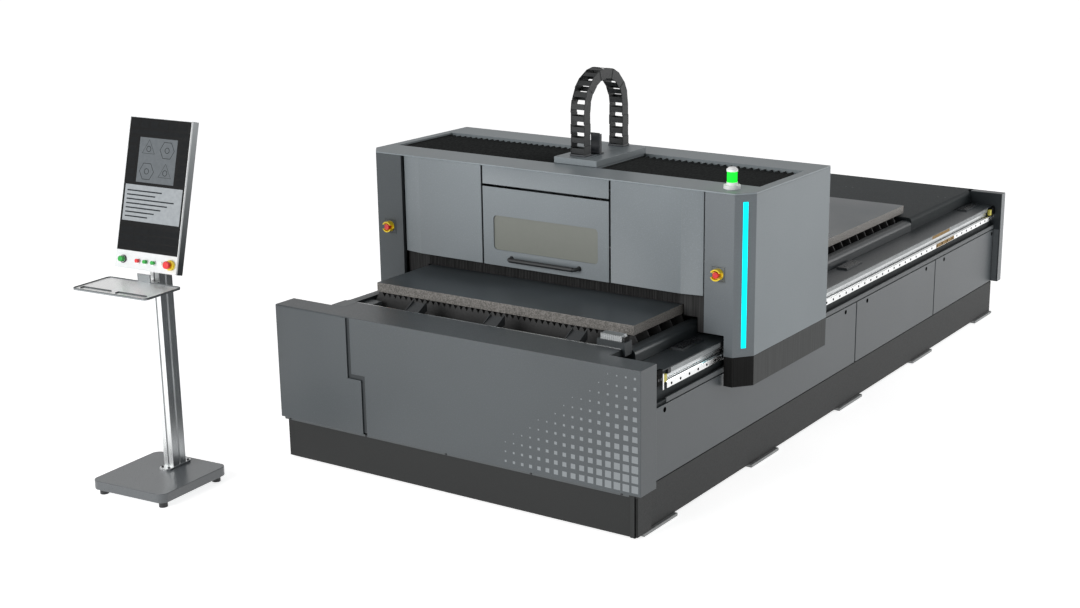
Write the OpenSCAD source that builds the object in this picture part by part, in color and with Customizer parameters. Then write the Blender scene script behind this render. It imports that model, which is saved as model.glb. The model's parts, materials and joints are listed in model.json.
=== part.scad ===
// Flat-bed fiber laser cutting machine with a travelling gantry and a standing control console.
// Millimetres, floor at zero, the front of the bed towards minus Y.

/* [Table] */
// Width of the work sheet across the bed
sheet_w = 1500; // [1200:1:2000]
// Length of the work sheet along the bed
sheet_len = 3100; // [2400:1:4200]
// Thickness of the work sheet
sheet_t = 47.5; // [5:0.5:50]
// Height of the slat tips above the floor
table_h = 801; // [780:1:840]
// Distance between two slats
slat_pitch = 105; // [100:1:140]
// Thickness of one slat
slat_t = 5; // [3:0.5:8]
// Distance between two notches of a slat
notch_pitch = 34; // [30:1:60]
// Depth of a slat notch
notch_depth = 25; // [12:1:26]

/* [Bed] */
// Depth of the front end cover
cover_depth = 133; // [110:1:180]
// Height of the plinth without its floor plates
plinth_h = 201; // [150:1:240]
// Thickness of the floor plates
foot_t = 15; // [8:1:25]
// Length of one floor plate
foot_len = 293; // [220:1:360]
// Width of the stepped gap between the two front covers
cover_gap = 24; // [10:1:30]

/* [Gantry] */
// Front of the gantry behind the front of the bed, at rest
gantry_y = 804.5; // [780:0.5:840]
// Length of the gantry along the bed
gantry_len = 867; // [850:1:950]
// Height of the gantry top above the slat tips
gantry_rise = 621; // [604:1:679]
// Width of a column front face with its chamfer
column_w = 223; // [215:1:230]
// Chamfer of the outer front corner across the bed
chamfer_x = 69; // [40:1:75]
// Chamfer of the outer front corner along the bed
chamfer_y = 85; // [50:1:90]
// Height of the brush skirt below a column
skirt_h = 145; // [100:1:170]
// Sheet thickness of the gantry covers
shell_t = 6; // [4:0.5:6.5]

/* [Door] */
// Width of the inspection door
door_w = 744; // [700:1:748]
// Height of the inspection door
door_h = 397.5; // [390:0.5:399]
// Width of the door window
window_w = 618; // [400:1:640]
// Height of the door window
window_h = 174.5; // [120:0.5:190]
// Length of the door handle
handle_len = 420; // [250:1:500]
// Diameter of the door handle bar
handle_d = 18; // [14:0.5:22]

/* [Carriage] */
// Width of the carriage top plate
plate_w = 252; // [240:1:320]
// Thickness of the carriage top plate
plate_t = 32; // [12:1:40]
// Width of the drag chain
chain_w = 85; // [60:1:100]
// Height of one chain link
chain_h = 55; // [40:1:56]
// Bend radius of the drag chain at its middle line
chain_r = 178; // [160:1:179]
// Length of one chain link in the straight run
chain_pitch = 53.5; // [45:0.5:65]
// Distance between two pleats of the bellows
pleat_pitch = 36; // [24:1:48]

/* [Console] */
// Angle of the console to the bed
console_yaw = 4.3; // [0:0.1:10]
// Width of the console head
head_w = 370; // [360:1:420]
// Height of the console head
head_h = 704; // [500:1:760]
// Lean of the console head
head_tilt = 14.9; // [5:0.1:16]
// Width of the console foot
base_w = 440; // [380:1:520]
// Depth of the console foot
base_d = 450; // [400:1:520]
// Width of the keyboard tray
tray_w = 440; // [360:1:480]
// Depth of the keyboard tray
tray_d = 240; // [200:1:300]

/* [Hidden] */
$fn = 32;
eps = 0.5;

// Bed widths and heights
half_face = sheet_w / 2 + 228;
half_cover = half_face + 65.5;
half_plinth = half_face + 39;
plinth_side = half_face + 24;
half_gantry = half_face + 142;
bed_len = sheet_len + 1388;
plinth_top = foot_t + plinth_h;
plinth_y0 = 13;
foot_y = plinth_y0 + 62;
body_y1 = bed_len - 63;
cover_top = table_h - 9;
deck_z = table_h - 89;
deck_t = 5;
beam_z = deck_z - deck_t;
ledge_z = deck_z - 130;
rail_z = ledge_z + 47;
rail_h = 27;
rail_out = half_face + 22;
panel_x = half_face + 12;
panel_out = half_face + 22;
cover_t = 5;
shelf_y = cover_depth + 103;
shelf_half = sheet_w / 2 + 50;
bay_half = sheet_w / 2 + 10;
rim_in = sheet_w / 2 + 25;
rim_out = sheet_w / 2 + 82;
rim_y0 = shelf_y + 64;
rear_deck_y = sheet_len + 350;
rear_deck_half = rim_out;
sheet_y = 419;
slat_y = sheet_y + 11;
slat_n = floor((rear_deck_y - 60 - slat_y) / slat_pitch) + 1;
slat_z = beam_z - 17;
notch_n = floor((sheet_w - 20) / notch_pitch);
notch_w = notch_pitch - 4;
step_x = -half_cover + 536.5;
step_z = plinth_top + 295;

// Gantry lines
g_front = gantry_y;
g_rear = gantry_y + gantry_len;
gantry_top = table_h + gantry_rise;
g_under = gantry_top - 8;
leg_z = deck_z - 69;
notch_z = deck_z + 31;
notch_x = half_face + 26;
col_in = half_gantry - column_w;
panel_z = table_h + 113;
turn_a = atan2(chamfer_y, chamfer_x);
lip_x = half_gantry - chamfer_x - shell_t * tan(turn_a / 2);
lip_y = g_front + chamfer_y + shell_t * tan((90 - turn_a) / 2);
saddle_in = half_face + 34;
saddle_out = half_face + 62;
open_half = half_gantry - 50;
open_y0 = g_front + 207.5;
open_y1 = g_rear - 196.5;
beam_y0 = g_front + 395.5;
beam_y1 = g_rear - 241.5;
beam_lo = g_under - 374;
beam_hi = g_under - 114;
frame_y = g_front + 31.5;
fold_x = col_in - 127;
edge_x = col_in - 15;
fold_d = 18;
door_half = door_w / 2;
door_top = panel_z + door_h;
header_z = door_top + 12;
hinge_y = g_front + shell_t / 2;
hinge_z = door_top + 5;
estop_x = half_gantry - 148;
estop_z = panel_z + 122;

// Carriage lines
car_x = 46;
plate_x0 = car_x - plate_w / 2;
plate_x1 = car_x + plate_w / 2;
plate_z = gantry_top + 1;
plate_top = plate_z + plate_t;
chain_x = 25;
chain_y = (open_y0 + open_y1) / 2 + 28;
chain_leg = 4 * chain_pitch;
chain_cz = plate_top + chain_leg;
neck_y = beam_y0 - 60;

// Console lines
cons_x = -(half_cover + 222.5);
cons_y = -507;
pole_w = 57;
pole_d = 87;
base_dy = -107;
tray_dx = -9;
tray_dy = -215;
tray_z = 1000;
head_dx = -9;
head_dy = -92.6;
head_z = 1056;
head_t = 45;
base_r = 40;
tray_r = 20;
base_cx = cons_x - base_dy * sin(console_yaw);
base_cy = cons_y + base_dy * cos(console_yaw);
tray_cx = cons_x + tray_dx * cos(console_yaw) - tray_dy * sin(console_yaw);
tray_cy = cons_y + tray_dx * sin(console_yaw) + tray_dy * cos(console_yaw);
base_hx = (base_w / 2 - base_r) * cos(console_yaw) + (base_d / 2 - base_r) * sin(console_yaw) + base_r;
base_hy = (base_w / 2 - base_r) * sin(console_yaw) + (base_d / 2 - base_r) * cos(console_yaw) + base_r;
tray_hx = (tray_w / 2 - tray_r) * cos(console_yaw) + (tray_d / 2 - tray_r) * sin(console_yaw) + tray_r;
tray_hy = (tray_w / 2 - tray_r) * sin(console_yaw) + (tray_d / 2 - tray_r) * cos(console_yaw) + tray_r;

// Frame of the part: middle of the bounding box, on the floor
origin_x = (min(base_cx - base_hx, tray_cx - tray_hx) + half_gantry) / 2;
origin_y = (min(base_cy - base_hy, tray_cy - tray_hy) + bed_len) / 2;

// Shared helpers
module placed() {
  translate([-origin_x, -origin_y, 0])
    children();
}

module block(a, b) {
  translate(a)
    cube(b - a);
}

module both_sides() {
  children();
  mirror([1, 0, 0])
    children();
}

// Outline in X and Z, extruded along Y
module prism_y(y0, y1) {
  translate([0, y1, 0])
    rotate([90, 0, 0])
      linear_extrude(y1 - y0)
        children();
}

// Outline in Y and Z, extruded along X
module prism_x(x0, x1) {
  translate([x0, 0, 0])
    rotate([90, 0, 90])
      linear_extrude(x1 - x0)
        children();
}

module rod_y(r, y0, y1) {
  translate([0, y0, 0])
    rotate([-90, 0, 0])
      cylinder(r = r, h = y1 - y0);
}

module rod_x(r, x0, x1) {
  translate([x0, 0, 0])
    rotate([0, 90, 0])
      cylinder(r = r, h = x1 - x0);
}

module rounded(w, d, r) {
  square([w - 2 * r, d], center = true);
  square([w, d - 2 * r], center = true);
  for (sx = [-1, 1], sy = [-1, 1])
    translate([sx * (w / 2 - r), sy * (d / 2 - r)])
      circle(r);
}

// Floor plates under the plinth
module foot_plates() {
  pitch = (body_y1 - foot_y - foot_len) / 4;
  color("#2f3335")
    placed()
      both_sides()
        for (i = [0:4])
          block([half_plinth - 115, foot_y + i * pitch, 0],
                [half_plinth, foot_y + i * pitch + foot_len, foot_t]);
}

// Dark plinth under the whole bed, with an end plate and a lip under the front covers
module plinth() {
  c = 8;
  color("#3d4143")
    placed() {
      translate([0, 0, foot_t])
        linear_extrude(plinth_h)
          polygon([
            [-half_plinth + c, plinth_y0],
            [half_plinth - c, plinth_y0],
            [half_plinth, plinth_y0 + c],
            [half_plinth, cover_depth],
            [plinth_side, cover_depth],
            [plinth_side, body_y1],
            [-plinth_side, body_y1],
            [-plinth_side, cover_depth],
            [-half_plinth, cover_depth],
            [-half_plinth, plinth_y0 + c]
          ]);
      block([-half_plinth - 8, plinth_y0 - 7, plinth_top - 12],
            [half_plinth, plinth_y0 + c + 4, plinth_top]);
    }
}

// Welded bed with a bay under the slats
module bed_frame() {
  color("#7c8285")
    placed()
      difference() {
        union() {
          block([-panel_x, cover_depth, plinth_top], [panel_x, body_y1, ledge_z - 8]);
          block([-panel_out, cover_depth, ledge_z - 8], [panel_out, body_y1, ledge_z]);
          block([-half_face, cover_depth, ledge_z - eps], [half_face, body_y1, beam_z]);
          block([-shelf_half, cover_depth, beam_z - eps], [shelf_half, shelf_y, cover_top - cover_t]);
        }
        block([-bay_half, rim_y0, beam_z - 87], [bay_half, rear_deck_y, cover_top]);
        block([-rim_in, rim_y0, slat_z], [rim_in, rear_deck_y, cover_top]);
      }
}

// Main front cover with the shelf on its top
module front_cover_main() {
  hs = step_x + cover_gap / 2;
  color("#64696b")
    placed() {
      prism_y(0, cover_t)
        polygon([
          [half_cover, plinth_top],
          [half_cover, cover_top - cover_t],
          [hs - 82, cover_top - cover_t],
          [hs - 82, step_z],
          [hs, step_z],
          [hs, plinth_top]
        ]);
      translate([0, 0, cover_top - cover_t])
        linear_extrude(cover_t)
          polygon([
            [-half_cover, 0],
            [half_cover, 0],
            [half_cover, cover_depth],
            [shelf_half, cover_depth],
            [shelf_half, shelf_y],
            [-shelf_half, shelf_y],
            [-shelf_half, cover_depth],
            [-half_cover, cover_depth]
          ]);
      block([half_cover - cover_t, cover_t - eps, plinth_top],
            [half_cover, cover_depth, cover_top - cover_t + eps]);
      block([hs, cover_t - eps, plinth_top],
            [half_cover - cover_t + eps, cover_depth, plinth_top + cover_t]);
    }
}

// Left front cover, stepped along its right edge
module front_cover_left() {
  hs = step_x - cover_gap / 2;
  color("#555a5d")
    placed() {
      prism_y(0, cover_t)
        polygon([
          [-half_cover, plinth_top],
          [hs, plinth_top],
          [hs, step_z - cover_gap],
          [hs - 82, step_z - cover_gap],
          [hs - 82, cover_top - cover_t],
          [-half_cover, cover_top - cover_t]
        ]);
      block([-half_cover, cover_t - eps, plinth_top],
            [-half_cover + cover_t, cover_depth, cover_top - cover_t]);
      block([-half_cover + cover_t - eps, cover_t - eps, plinth_top],
            [hs, cover_depth, plinth_top + cover_t]);
    }
}

// Rear end cover with its two corner boxes
module rear_cover() {
  color("#64696b")
    placed() {
      block([-half_cover, bed_len - cover_t, plinth_top], [half_cover, bed_len, cover_top]);
      both_sides() {
        block([half_cover - cover_t, body_y1, plinth_top], [half_cover, bed_len - cover_t + eps, cover_top]);
        block([half_face + 8, body_y1, plinth_top], [half_cover - eps, body_y1 + cover_t, cover_top]);
        block([rear_deck_half, body_y1, deck_z], [half_face + 8 + eps, body_y1 + cover_t, cover_top]);
        block([rear_deck_half, body_y1 + eps, cover_top - cover_t], [half_cover - eps, bed_len - eps, cover_top]);
      }
    }
}

// Hood outline across the bed with rounded upper edges
module folded_hood(half, top, r) {
  translate([-half, beam_z])
    square([2 * half, top - r - beam_z]);
  translate([-half + r, beam_z])
    square([2 * half - 2 * r, top - beam_z]);
  for (s = [-1, 1])
    translate([s * (half - r), top - r])
      circle(r);
}

// Raised deck behind the slats
module rear_deck() {
  color("#4a4f52")
    placed() {
      prism_y(rear_deck_y, rear_deck_y + 6)
        folded_hood(rear_deck_half, cover_top, 24);
      prism_y(rear_deck_y, body_y1)
        difference() {
          folded_hood(rear_deck_half, cover_top, 24);
          translate([0, -20])
            folded_hood(rear_deck_half - 6, cover_top + 14, 18);
        }
      block([-rear_deck_half + 24, body_y1 - eps, cover_top - 6], [rear_deck_half - 24, bed_len - cover_t, cover_top]);
    }
}

// Three covers along one side of the bed
module side_panel_run() {
  top = ledge_z - 24;
  j1 = cover_depth + (body_y1 - cover_depth) * 0.509;
  j2 = cover_depth + (body_y1 - cover_depth) * 0.771;
  block([panel_x, cover_depth + 2, plinth_top + 2], [panel_out, j1 - 5, top]);
  block([panel_x, j1 + 5, plinth_top + 2], [panel_out, j2 - 5, top]);
  block([panel_x, j2 + 5, plinth_top + 2], [panel_out, body_y1 - 4, top]);
}

module side_panels_right() {
  color("#696e70")
    placed()
      side_panel_run();
}

module side_panels_left() {
  color("#696e70")
    placed()
      mirror([1, 0, 0])
        side_panel_run();
}

// Side decks with three raised pads each
module side_decks() {
  pad_step = (body_y1 - cover_depth - 718) / 2;
  color("#42474a")
    placed()
      both_sides() {
        translate([0, 0, beam_z])
          linear_extrude(deck_t)
            polygon([
              [rim_out + 2, cover_depth],
              [half_face + 7, cover_depth],
              [half_face + 7, body_y1],
              [rear_deck_half, body_y1],
              [rear_deck_half, rear_deck_y],
              [rim_out + 2, rear_deck_y]
            ]);
        for (i = [0:2])
          block([rim_out + 16, cover_depth + 450 + i * pad_step, deck_z - eps],
                [rim_out + 80, cover_depth + 648 + i * pad_step, deck_z + 10]);
      }
}

// Linear guide rails on the machined side faces
module guide_rails() {
  color("#b9bcbd")
    placed()
      both_sides()
        prism_y(cover_depth + 190, body_y1 - 15)
          polygon([
            [half_face, rail_z],
            [half_face + 8, rail_z],
            [half_face + 11, rail_z + 4],
            [half_face + 14, rail_z + 4],
            [half_face + 18, rail_z],
            [rail_out, rail_z],
            [rail_out, rail_z + rail_h],
            [half_face + 18, rail_z + rail_h],
            [half_face + 14, rail_z + rail_h - 4],
            [half_face + 11, rail_z + rail_h - 4],
            [half_face + 8, rail_z + rail_h],
            [half_face, rail_z + rail_h]
          ]);
}

// Drive racks under the lips of the side decks
module gear_racks() {
  color("#8b8f91")
    placed()
      both_sides()
        block([half_face, cover_depth + 190, beam_z - 22], [half_face + 6, body_y1 - 89, beam_z]);
}

// End stops of the gantry travel
module rail_stops() {
  color("#26292b")
    placed()
      both_sides() {
        block([half_face, cover_depth + 72, rail_z + 28], [half_face + 24, cover_depth + 160, beam_z]);
        block([half_face + 7, cover_depth + 72, beam_z - eps], [half_face + 24, cover_depth + 152, deck_z + 16]);
        block([half_face, body_y1 - 88, rail_z + 28], [half_face + 24, body_y1, beam_z]);
      }
}

// Bumpers on the end stops
module stop_bumpers() {
  color("#f2c21a")
    placed()
      both_sides() {
        block([half_face + 7, cover_depth + 160, rail_z + 33], [half_face + 23, cover_depth + 189, beam_z - 10]);
        block([half_face + 7, body_y1 - 117, rail_z + 33], [half_face + 23, body_y1 - 88, beam_z - 10]);
      }
}

// Rounded rims along both sides of the slat bay
module slat_rims() {
  r = 25;
  color("#8d9294")
    placed()
      both_sides()
        prism_y(rim_y0, rear_deck_y) {
          translate([rim_in, beam_z])
            square([rim_out - rim_in - r, 68]);
          translate([rim_in, beam_z])
            square([rim_out - rim_in, 68 - r]);
          translate([rim_out - r, beam_z + 68 - r])
            circle(r);
        }
}

// One saw-tooth slat, standing on edge
module slat(y) {
  half = sheet_w / 2;
  prism_y(y, y + slat_t)
    polygon(concat(
      [
        [-rim_in + 1, slat_z],
        [rim_in - 1, slat_z],
        [rim_in - 1, table_h - 55],
        [half - 5, table_h]
      ],
      [
        for (i = [notch_n - 1:-1:0], k = [1, 0, -1])
          [(i - (notch_n - 1) / 2) * notch_pitch + k * notch_w / 2, table_h - (k == 0 ? notch_depth : 0)]
      ],
      [
        [-half + 5, table_h],
        [-rim_in + 1, table_h - 55]
      ]
    ));
}

module slats() {
  color("#5f5a55")
    placed()
      for (i = [0:slat_n - 1])
        slat(slat_y + i * slat_pitch);
}

// Sloped sheet guides behind the front shelf
module sheet_guides() {
  guide_x = sheet_w * 68 / 1500;
  guide_step = sheet_w * 461 / 1500;
  color("#1f2224")
    placed()
      for (i = [-1:1])
        translate([guide_x + i * guide_step, 0, 0]) {
          prism_x(-37, 37)
            polygon([
              [shelf_y, cover_top - 12],
              [shelf_y + 76, cover_top + 20],
              [shelf_y + 76, cover_top + 25],
              [shelf_y, cover_top - 7]
            ]);
          for (x = [-41, 37 - eps])
            prism_x(x, x + 4 + eps)
              polygon([
                [shelf_y, cover_top - 34],
                [shelf_y + 76, cover_top - 10],
                [shelf_y + 76, cover_top + 38],
                [shelf_y + 12, cover_top + 2],
                [shelf_y, cover_top]
              ]);
        }
}

// Height calibration station at the right end of the shelf
module calibration_station() {
  x0 = shelf_half - 132;
  color("#9a9fa1")
    placed() {
      block([x0, shelf_y, cover_top - 32], [x0 + 149, shelf_y + 58, cover_top + 31]);
      difference() {
        block([x0 + 17, shelf_y + 6, cover_top + 30], [x0 + 127, shelf_y + 54, cover_top + 58]);
        for (i = [0:6])
          block([x0 + 24 + i * 14, shelf_y + 5, cover_top + 36], [x0 + 30 + i * 14, shelf_y + 10, cover_top + 54]);
      }
    }
}

// Metal sheet lying on the slats
module work_sheet() {
  color("#3d4650")
    placed()
      block([-sheet_w / 2, sheet_y, table_h], [sheet_w / 2, sheet_y + sheet_len, table_h + sheet_t]);
}

// End plates that carry the beam and the covers
module gantry_saddles() {
  color("#7c8285")
    placed()
      both_sides() {
        block([saddle_in, g_front + 95.5, rail_z - 16], [saddle_out, g_rear - 71.5, beam_hi + 10]);
        block([saddle_in, g_front + 95.5, beam_hi], [saddle_out, g_front + 195.5, g_under]);
        block([saddle_in, g_rear - 181.5, beam_hi], [saddle_out, g_rear - 71.5, g_under]);
      }
}

// Guide carriages that run on the side rails
module bearing_blocks() {
  c = 0.4;
  color("#9fa4a6")
    placed()
      both_sides()
        for (y = [g_front + 100.5, g_rear - 176.5])
          difference() {
            block([half_face + 5, y, rail_z - 16], [saddle_in, y + 100, rail_z + rail_h + 16]);
            block([half_face, y - 1, rail_z - c], [rail_out + c, y + 101, rail_z + rail_h + c]);
          }
}

// Drive motors on the outside of the end plates
module drive_motors() {
  x = saddle_out + 36;
  y = g_front + 450.5;
  color("#2a2d2f")
    placed()
      both_sides() {
        block([saddle_out, y - 36, deck_z], [saddle_out + 70, y + 36, deck_z + 80]);
        translate([x, y, deck_z + 80 - eps])
          cylinder(r = 33, h = 190);
        block([saddle_out, y - 20, deck_z + 240], [saddle_out + 20, y + 20, deck_z + 270]);
      }
}

// Hollow beam across the gantry with its two front rails
module cross_beam() {
  color("#8a8f92")
    placed() {
      difference() {
        block([-saddle_in, beam_y0, beam_lo], [saddle_in, beam_y1, beam_hi]);
        block([-saddle_in - 1, beam_y0 + 10, beam_lo + 10], [saddle_in + 1, beam_y1 - 10, beam_hi - 10]);
      }
      for (z = [beam_lo + 40, beam_hi - 63])
        block([-half_face + 28, beam_y0 - 20, z], [half_face - 28, beam_y0 + eps, z + 23]);
    }
}

// Plan outline of one column cover
module column_plan() {
  difference() {
    polygon([
      [col_in, g_front],
      [half_gantry - chamfer_x, g_front],
      [half_gantry, g_front + chamfer_y],
      [half_gantry, g_rear],
      [col_in, g_rear]
    ]);
    polygon([
      [col_in - 10, g_front + shell_t],
      [lip_x, g_front + shell_t],
      [half_gantry - shell_t, lip_y],
      [half_gantry - shell_t, g_rear - shell_t],
      [col_in - 10, g_rear - shell_t]
    ]);
  }
}

module column_cover() {
  difference() {
    union() {
      translate([0, 0, leg_z])
        linear_extrude(g_under - leg_z)
          column_plan();
      block([estop_x - 38, g_front - 2, estop_z - 38], [estop_x + 38, g_front + eps, estop_z + 38]);
      block([col_in, g_front + shell_t - eps, notch_z], [col_in + 5, frame_y, g_under]);
      block([col_in, g_rear - 36, notch_z], [col_in + 5, g_rear - shell_t + eps, g_under]);
    }
    block([col_in - 1, g_front - 5, leg_z - 1], [notch_x, g_rear + 1, notch_z]);
    translate([estop_x, 0, estop_z])
      rod_y(12, g_front - 3, g_front + shell_t + 1);
  }
}

// Right column cover
module column_cover_right() {
  color("#878c8f")
    placed()
      column_cover();
}

// Left column cover
module column_cover_left() {
  color("#878c8f")
    placed()
      mirror([1, 0, 0])
        column_cover();
}

// Brush skirts below the column legs
module column_skirts() {
  color("#2b2d2e")
    placed()
      both_sides()
        translate([0, 0, leg_z - skirt_h])
          linear_extrude(skirt_h)
            intersection() {
              column_plan();
              translate([notch_x + 2, g_front - 1])
                square([200, gantry_len + 2]);
            }
}

// Top plate around the bellows opening
module top_frame() {
  w = 4;
  color("#8d9295")
    placed() {
      translate([0, 0, g_under])
        linear_extrude(gantry_top - g_under)
          difference() {
            polygon([
              [-half_gantry + chamfer_x, g_front],
              [half_gantry - chamfer_x, g_front],
              [half_gantry, g_front + chamfer_y],
              [half_gantry, g_rear],
              [-half_gantry, g_rear],
              [-half_gantry, g_front + chamfer_y]
            ]);
            translate([-open_half, open_y0])
              square([2 * open_half, open_y1 - open_y0]);
          }
      difference() {
        block([-open_half - w, open_y0 - w, g_under - 34], [open_half + w, open_y1 + w, g_under + eps]);
        block([-open_half, open_y0, g_under - 35], [open_half, open_y1, g_under + 1]);
      }
    }
}

// Tube frame behind the front panels
module front_frame() {
  lug_y = g_front + shell_t;
  lug_z = g_under - 50;
  color("#3a3e40")
    placed() {
      block([-half_gantry + 120, frame_y, lug_z], [half_gantry - 120, frame_y + 40, g_under]);
      block([-edge_x - 8, frame_y, panel_z + 11], [edge_x + 8, frame_y + 30, panel_z + 51]);
      both_sides() {
        block([door_half + 28, frame_y, panel_z + 50], [door_half + 58, frame_y + 30, lug_z + eps]);
        block([half_gantry - 180, lug_y, lug_z], [half_gantry - 140, frame_y + eps, lug_z + 40]);
        block([door_half + 190, lug_y, lug_z], [door_half + 230, frame_y + eps, lug_z + 40]);
        block([door_half + 190, lug_y, panel_z + 11], [door_half + 230, frame_y + eps, panel_z + 51]);
        block([door_half - 80, lug_y, lug_z], [door_half - 40, frame_y + eps, lug_z + 40]);
      }
    }
}

// Fixed front panels beside and above the door
module front_panels() {
  a = atan2(fold_d, edge_x - fold_x);
  s = shell_t * tan(a / 2);
  color("#868d91")
    placed() {
      both_sides()
        translate([0, 0, panel_z])
          linear_extrude(g_under - panel_z)
            polygon([
              [door_half + 10, g_front],
              [fold_x, g_front],
              [edge_x, g_front + fold_d],
              [edge_x - shell_t * sin(a), g_front + fold_d + shell_t * cos(a)],
              [fold_x - s, g_front + shell_t],
              [door_half + 10, g_front + shell_t]
            ]);
      block([-door_half, g_front, header_z], [door_half, g_front + shell_t, g_under]);
    }
}

// Rear panel with two pressed beads
module rear_panel() {
  color("#868d91")
    placed()
      difference() {
        block([-col_in, g_rear - shell_t, panel_z], [col_in, g_rear, g_under]);
        both_sides()
          block([door_half, g_rear - 2, panel_z - 1], [door_half + 10, g_rear + 1, g_under + 1]);
      }
}

// Lower outline of a brush curtain, stepped around the sheet and the rims
module curtain_outline(top) {
  a = sheet_w / 2 + 15;
  b = rim_out + 8;
  c = col_in - 7;
  z0 = table_h + max(52, sheet_t + 4.5);
  z1 = cover_top + 8;
  z2 = deck_z + 16;
  polygon([
    [-a, z0], [a, z0], [a, z1], [b, z1], [b, z2], [c, z2],
    [c, top],
    [-c, top],
    [-c, z2], [-b, z2], [-b, z1], [-a, z1]
  ]);
}

module brush_curtains() {
  color("#1d1f20")
    placed() {
      prism_y(frame_y + 12, frame_y + 18)
        curtain_outline(panel_z + 11);
      prism_y(g_rear - shell_t - 6, g_rear - shell_t)
        curtain_outline(panel_z + 46);
    }
}

// Yellow guards around the gantry stop buttons
module estop_shrouds() {
  y = g_front - 2;
  color("#f0c417")
    placed()
      both_sides()
        translate([estop_x, 0, estop_z])
          difference() {
            rod_y(28, y - 32, y);
            rod_y(22, y - 33, y - 6);
            rod_y(11, y - 7, y + 1);
            block([-30, y - 33, -11], [30, y - 6, 11]);
          }
}

// Mushroom head of a gantry stop button with its stem
module gantry_button() {
  y = g_front - 2;
  translate([estop_x, 0, estop_z]) {
    rod_y(15, y - 31, y - 16);
    rod_y(10.6, y - 17, y + 1);
  }
}

module estop_button_right() {
  color("#d01f22")
    placed()
      gantry_button();
}

module estop_button_left() {
  color("#d01f22")
    placed()
      mirror([1, 0, 0])
        gantry_button();
}

// Light strip on the right front chamfer
module light_strip() {
  z0 = leg_z + 43;
  z1 = g_under - 33;
  r = 12.5;
  color("#39c6ec")
    placed()
      translate([half_gantry - chamfer_x / 2, g_front + chamfer_y / 2, 0])
        rotate([0, 0, turn_a])
          prism_y(-4, -0.02)
            translate([-r, z0])
              square([2 * r, z1 - z0]);
}

// Signal light: base and cap
module signal_housing() {
  color("#eef0f0")
    placed()
      translate([half_gantry - 142, g_front + 107.5, gantry_top]) {
        cylinder(r = 40, h = 17);
        translate([0, 0, 17 - eps])
          cylinder(r = 26.5, h = 13 + eps);
        cylinder(r = 8, h = 90);
        translate([0, 0, 80])
          cylinder(r1 = 27, r2 = 27, h = 10);
        translate([0, 0, 90 - eps])
          cylinder(r1 = 27, r2 = 16, h = 10);
      }
}

// Signal light: coloured lens
module signal_lens() {
  color("#1fc26e")
    placed()
      translate([half_gantry - 142, g_front + 107.5, gantry_top + 30])
        difference() {
          cylinder(r = 24, h = 50);
          translate([0, 0, -1])
            cylinder(r = 8.2, h = 52);
        }
}

// Fixed halves of the door hinges with their pins
module hinge_leaves() {
  color("#202325")
    placed()
      for (x = [-260, 260])
        translate([x * door_half / 372, hinge_y, hinge_z]) {
          rod_x(2.5, -32, 32);
          for (s = [-1, 1])
            translate([s * 23.6, 0, 0]) {
              rod_x(4.5, -8.3, 8.3);
              block([-8.3, -1.5, 0], [8.3, 1.5, 7]);
            }
        }
}

// Inspection door with its hinge knuckles
module door_panel() {
  wz = panel_z + 81 + window_h / 2;
  color("#868d91")
    placed()
      difference() {
        union() {
          block([-door_half, g_front, panel_z], [door_half, g_front + shell_t, door_top]);
          for (x = [-260, 260])
            translate([x * door_half / 372, hinge_y, hinge_z]) {
              rod_x(4.5, -15, 15);
              block([-15, -1.5, -5.5], [15, 1.5, 0]);
            }
        }
        for (x = [-260, 260])
          translate([x * door_half / 372, hinge_y, hinge_z])
            rod_x(2.55, -20, 20);
        translate([0, 0, wz])
          prism_y(g_front - 1, g_front + shell_t + 1)
            rounded(window_w, window_h, 20);
      }
}

// Tinted pane behind the door cut-out
module door_window() {
  color("#5b4c42")
    placed()
      translate([0, 0, panel_z + 81 + window_h / 2])
        prism_y(g_front + shell_t, g_front + shell_t + 3)
          rounded(window_w + 24, window_h + 24, 24);
}

// Bent bar handle of the door
module door_handle() {
  r = handle_d / 2;
  bend = 20;
  off = 37;
  half = handle_len / 2 - r;
  z = panel_z + 46;
  y = g_front - off;
  color("#17191a")
    placed()
      translate([0, 0, z]) {
        translate([0, y, 0])
          rod_x(r, -half + bend, half - bend);
        both_sides() {
          translate([half - bend, y + bend, 0])
            rotate([0, 0, -90])
              rotate_extrude(angle = 90)
                translate([bend, 0])
                  circle(r);
          translate([half, 0, 0])
            rod_y(r, y + bend, g_front);
        }
      }
}

// Sliding top plate of the carriage
module carriage_plate() {
  y0 = open_y0 - 2;
  y1 = open_y1 + 3;
  color("#979c9f")
    placed()
      difference() {
        union() {
          block([plate_x0, y0, plate_z], [plate_x1, y1, plate_top]);
          for (x = [plate_x0 + 4, plate_x1 - 10])
            block([x, open_y0 + 8, g_under - 30], [x + 6, open_y1 - 8, plate_z + eps]);
        }
        block([chain_x + 56, y0 + 70, plate_z - 1], [chain_x + 70, y0 + 150, plate_top + 1]);
      }
}

// Carriage plate on the beam rails with the lift guides
module carriage_saddle() {
  c = 0.4;
  y1 = neck_y + 25;
  color("#8a8f92")
    placed() {
      block([car_x - 101, neck_y, beam_lo - 30], [car_x + 99, y1, plate_z]);
      for (x = [car_x - 36, car_x + 19])
        block([x, neck_y - 12, beam_lo - 30], [x + 15, neck_y + eps, g_under - 14]);
      for (x = [car_x - 96, car_x + 14], z = [beam_lo + 40, beam_hi - 63])
        difference() {
          block([x, y1 - eps, z - 10], [x + 80, beam_y0 - 6, z + 33]);
          block([x - 1, beam_y0 - 20 - c, z - c], [x + 81, beam_y0, z + 23 + c]);
        }
    }
}

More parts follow.
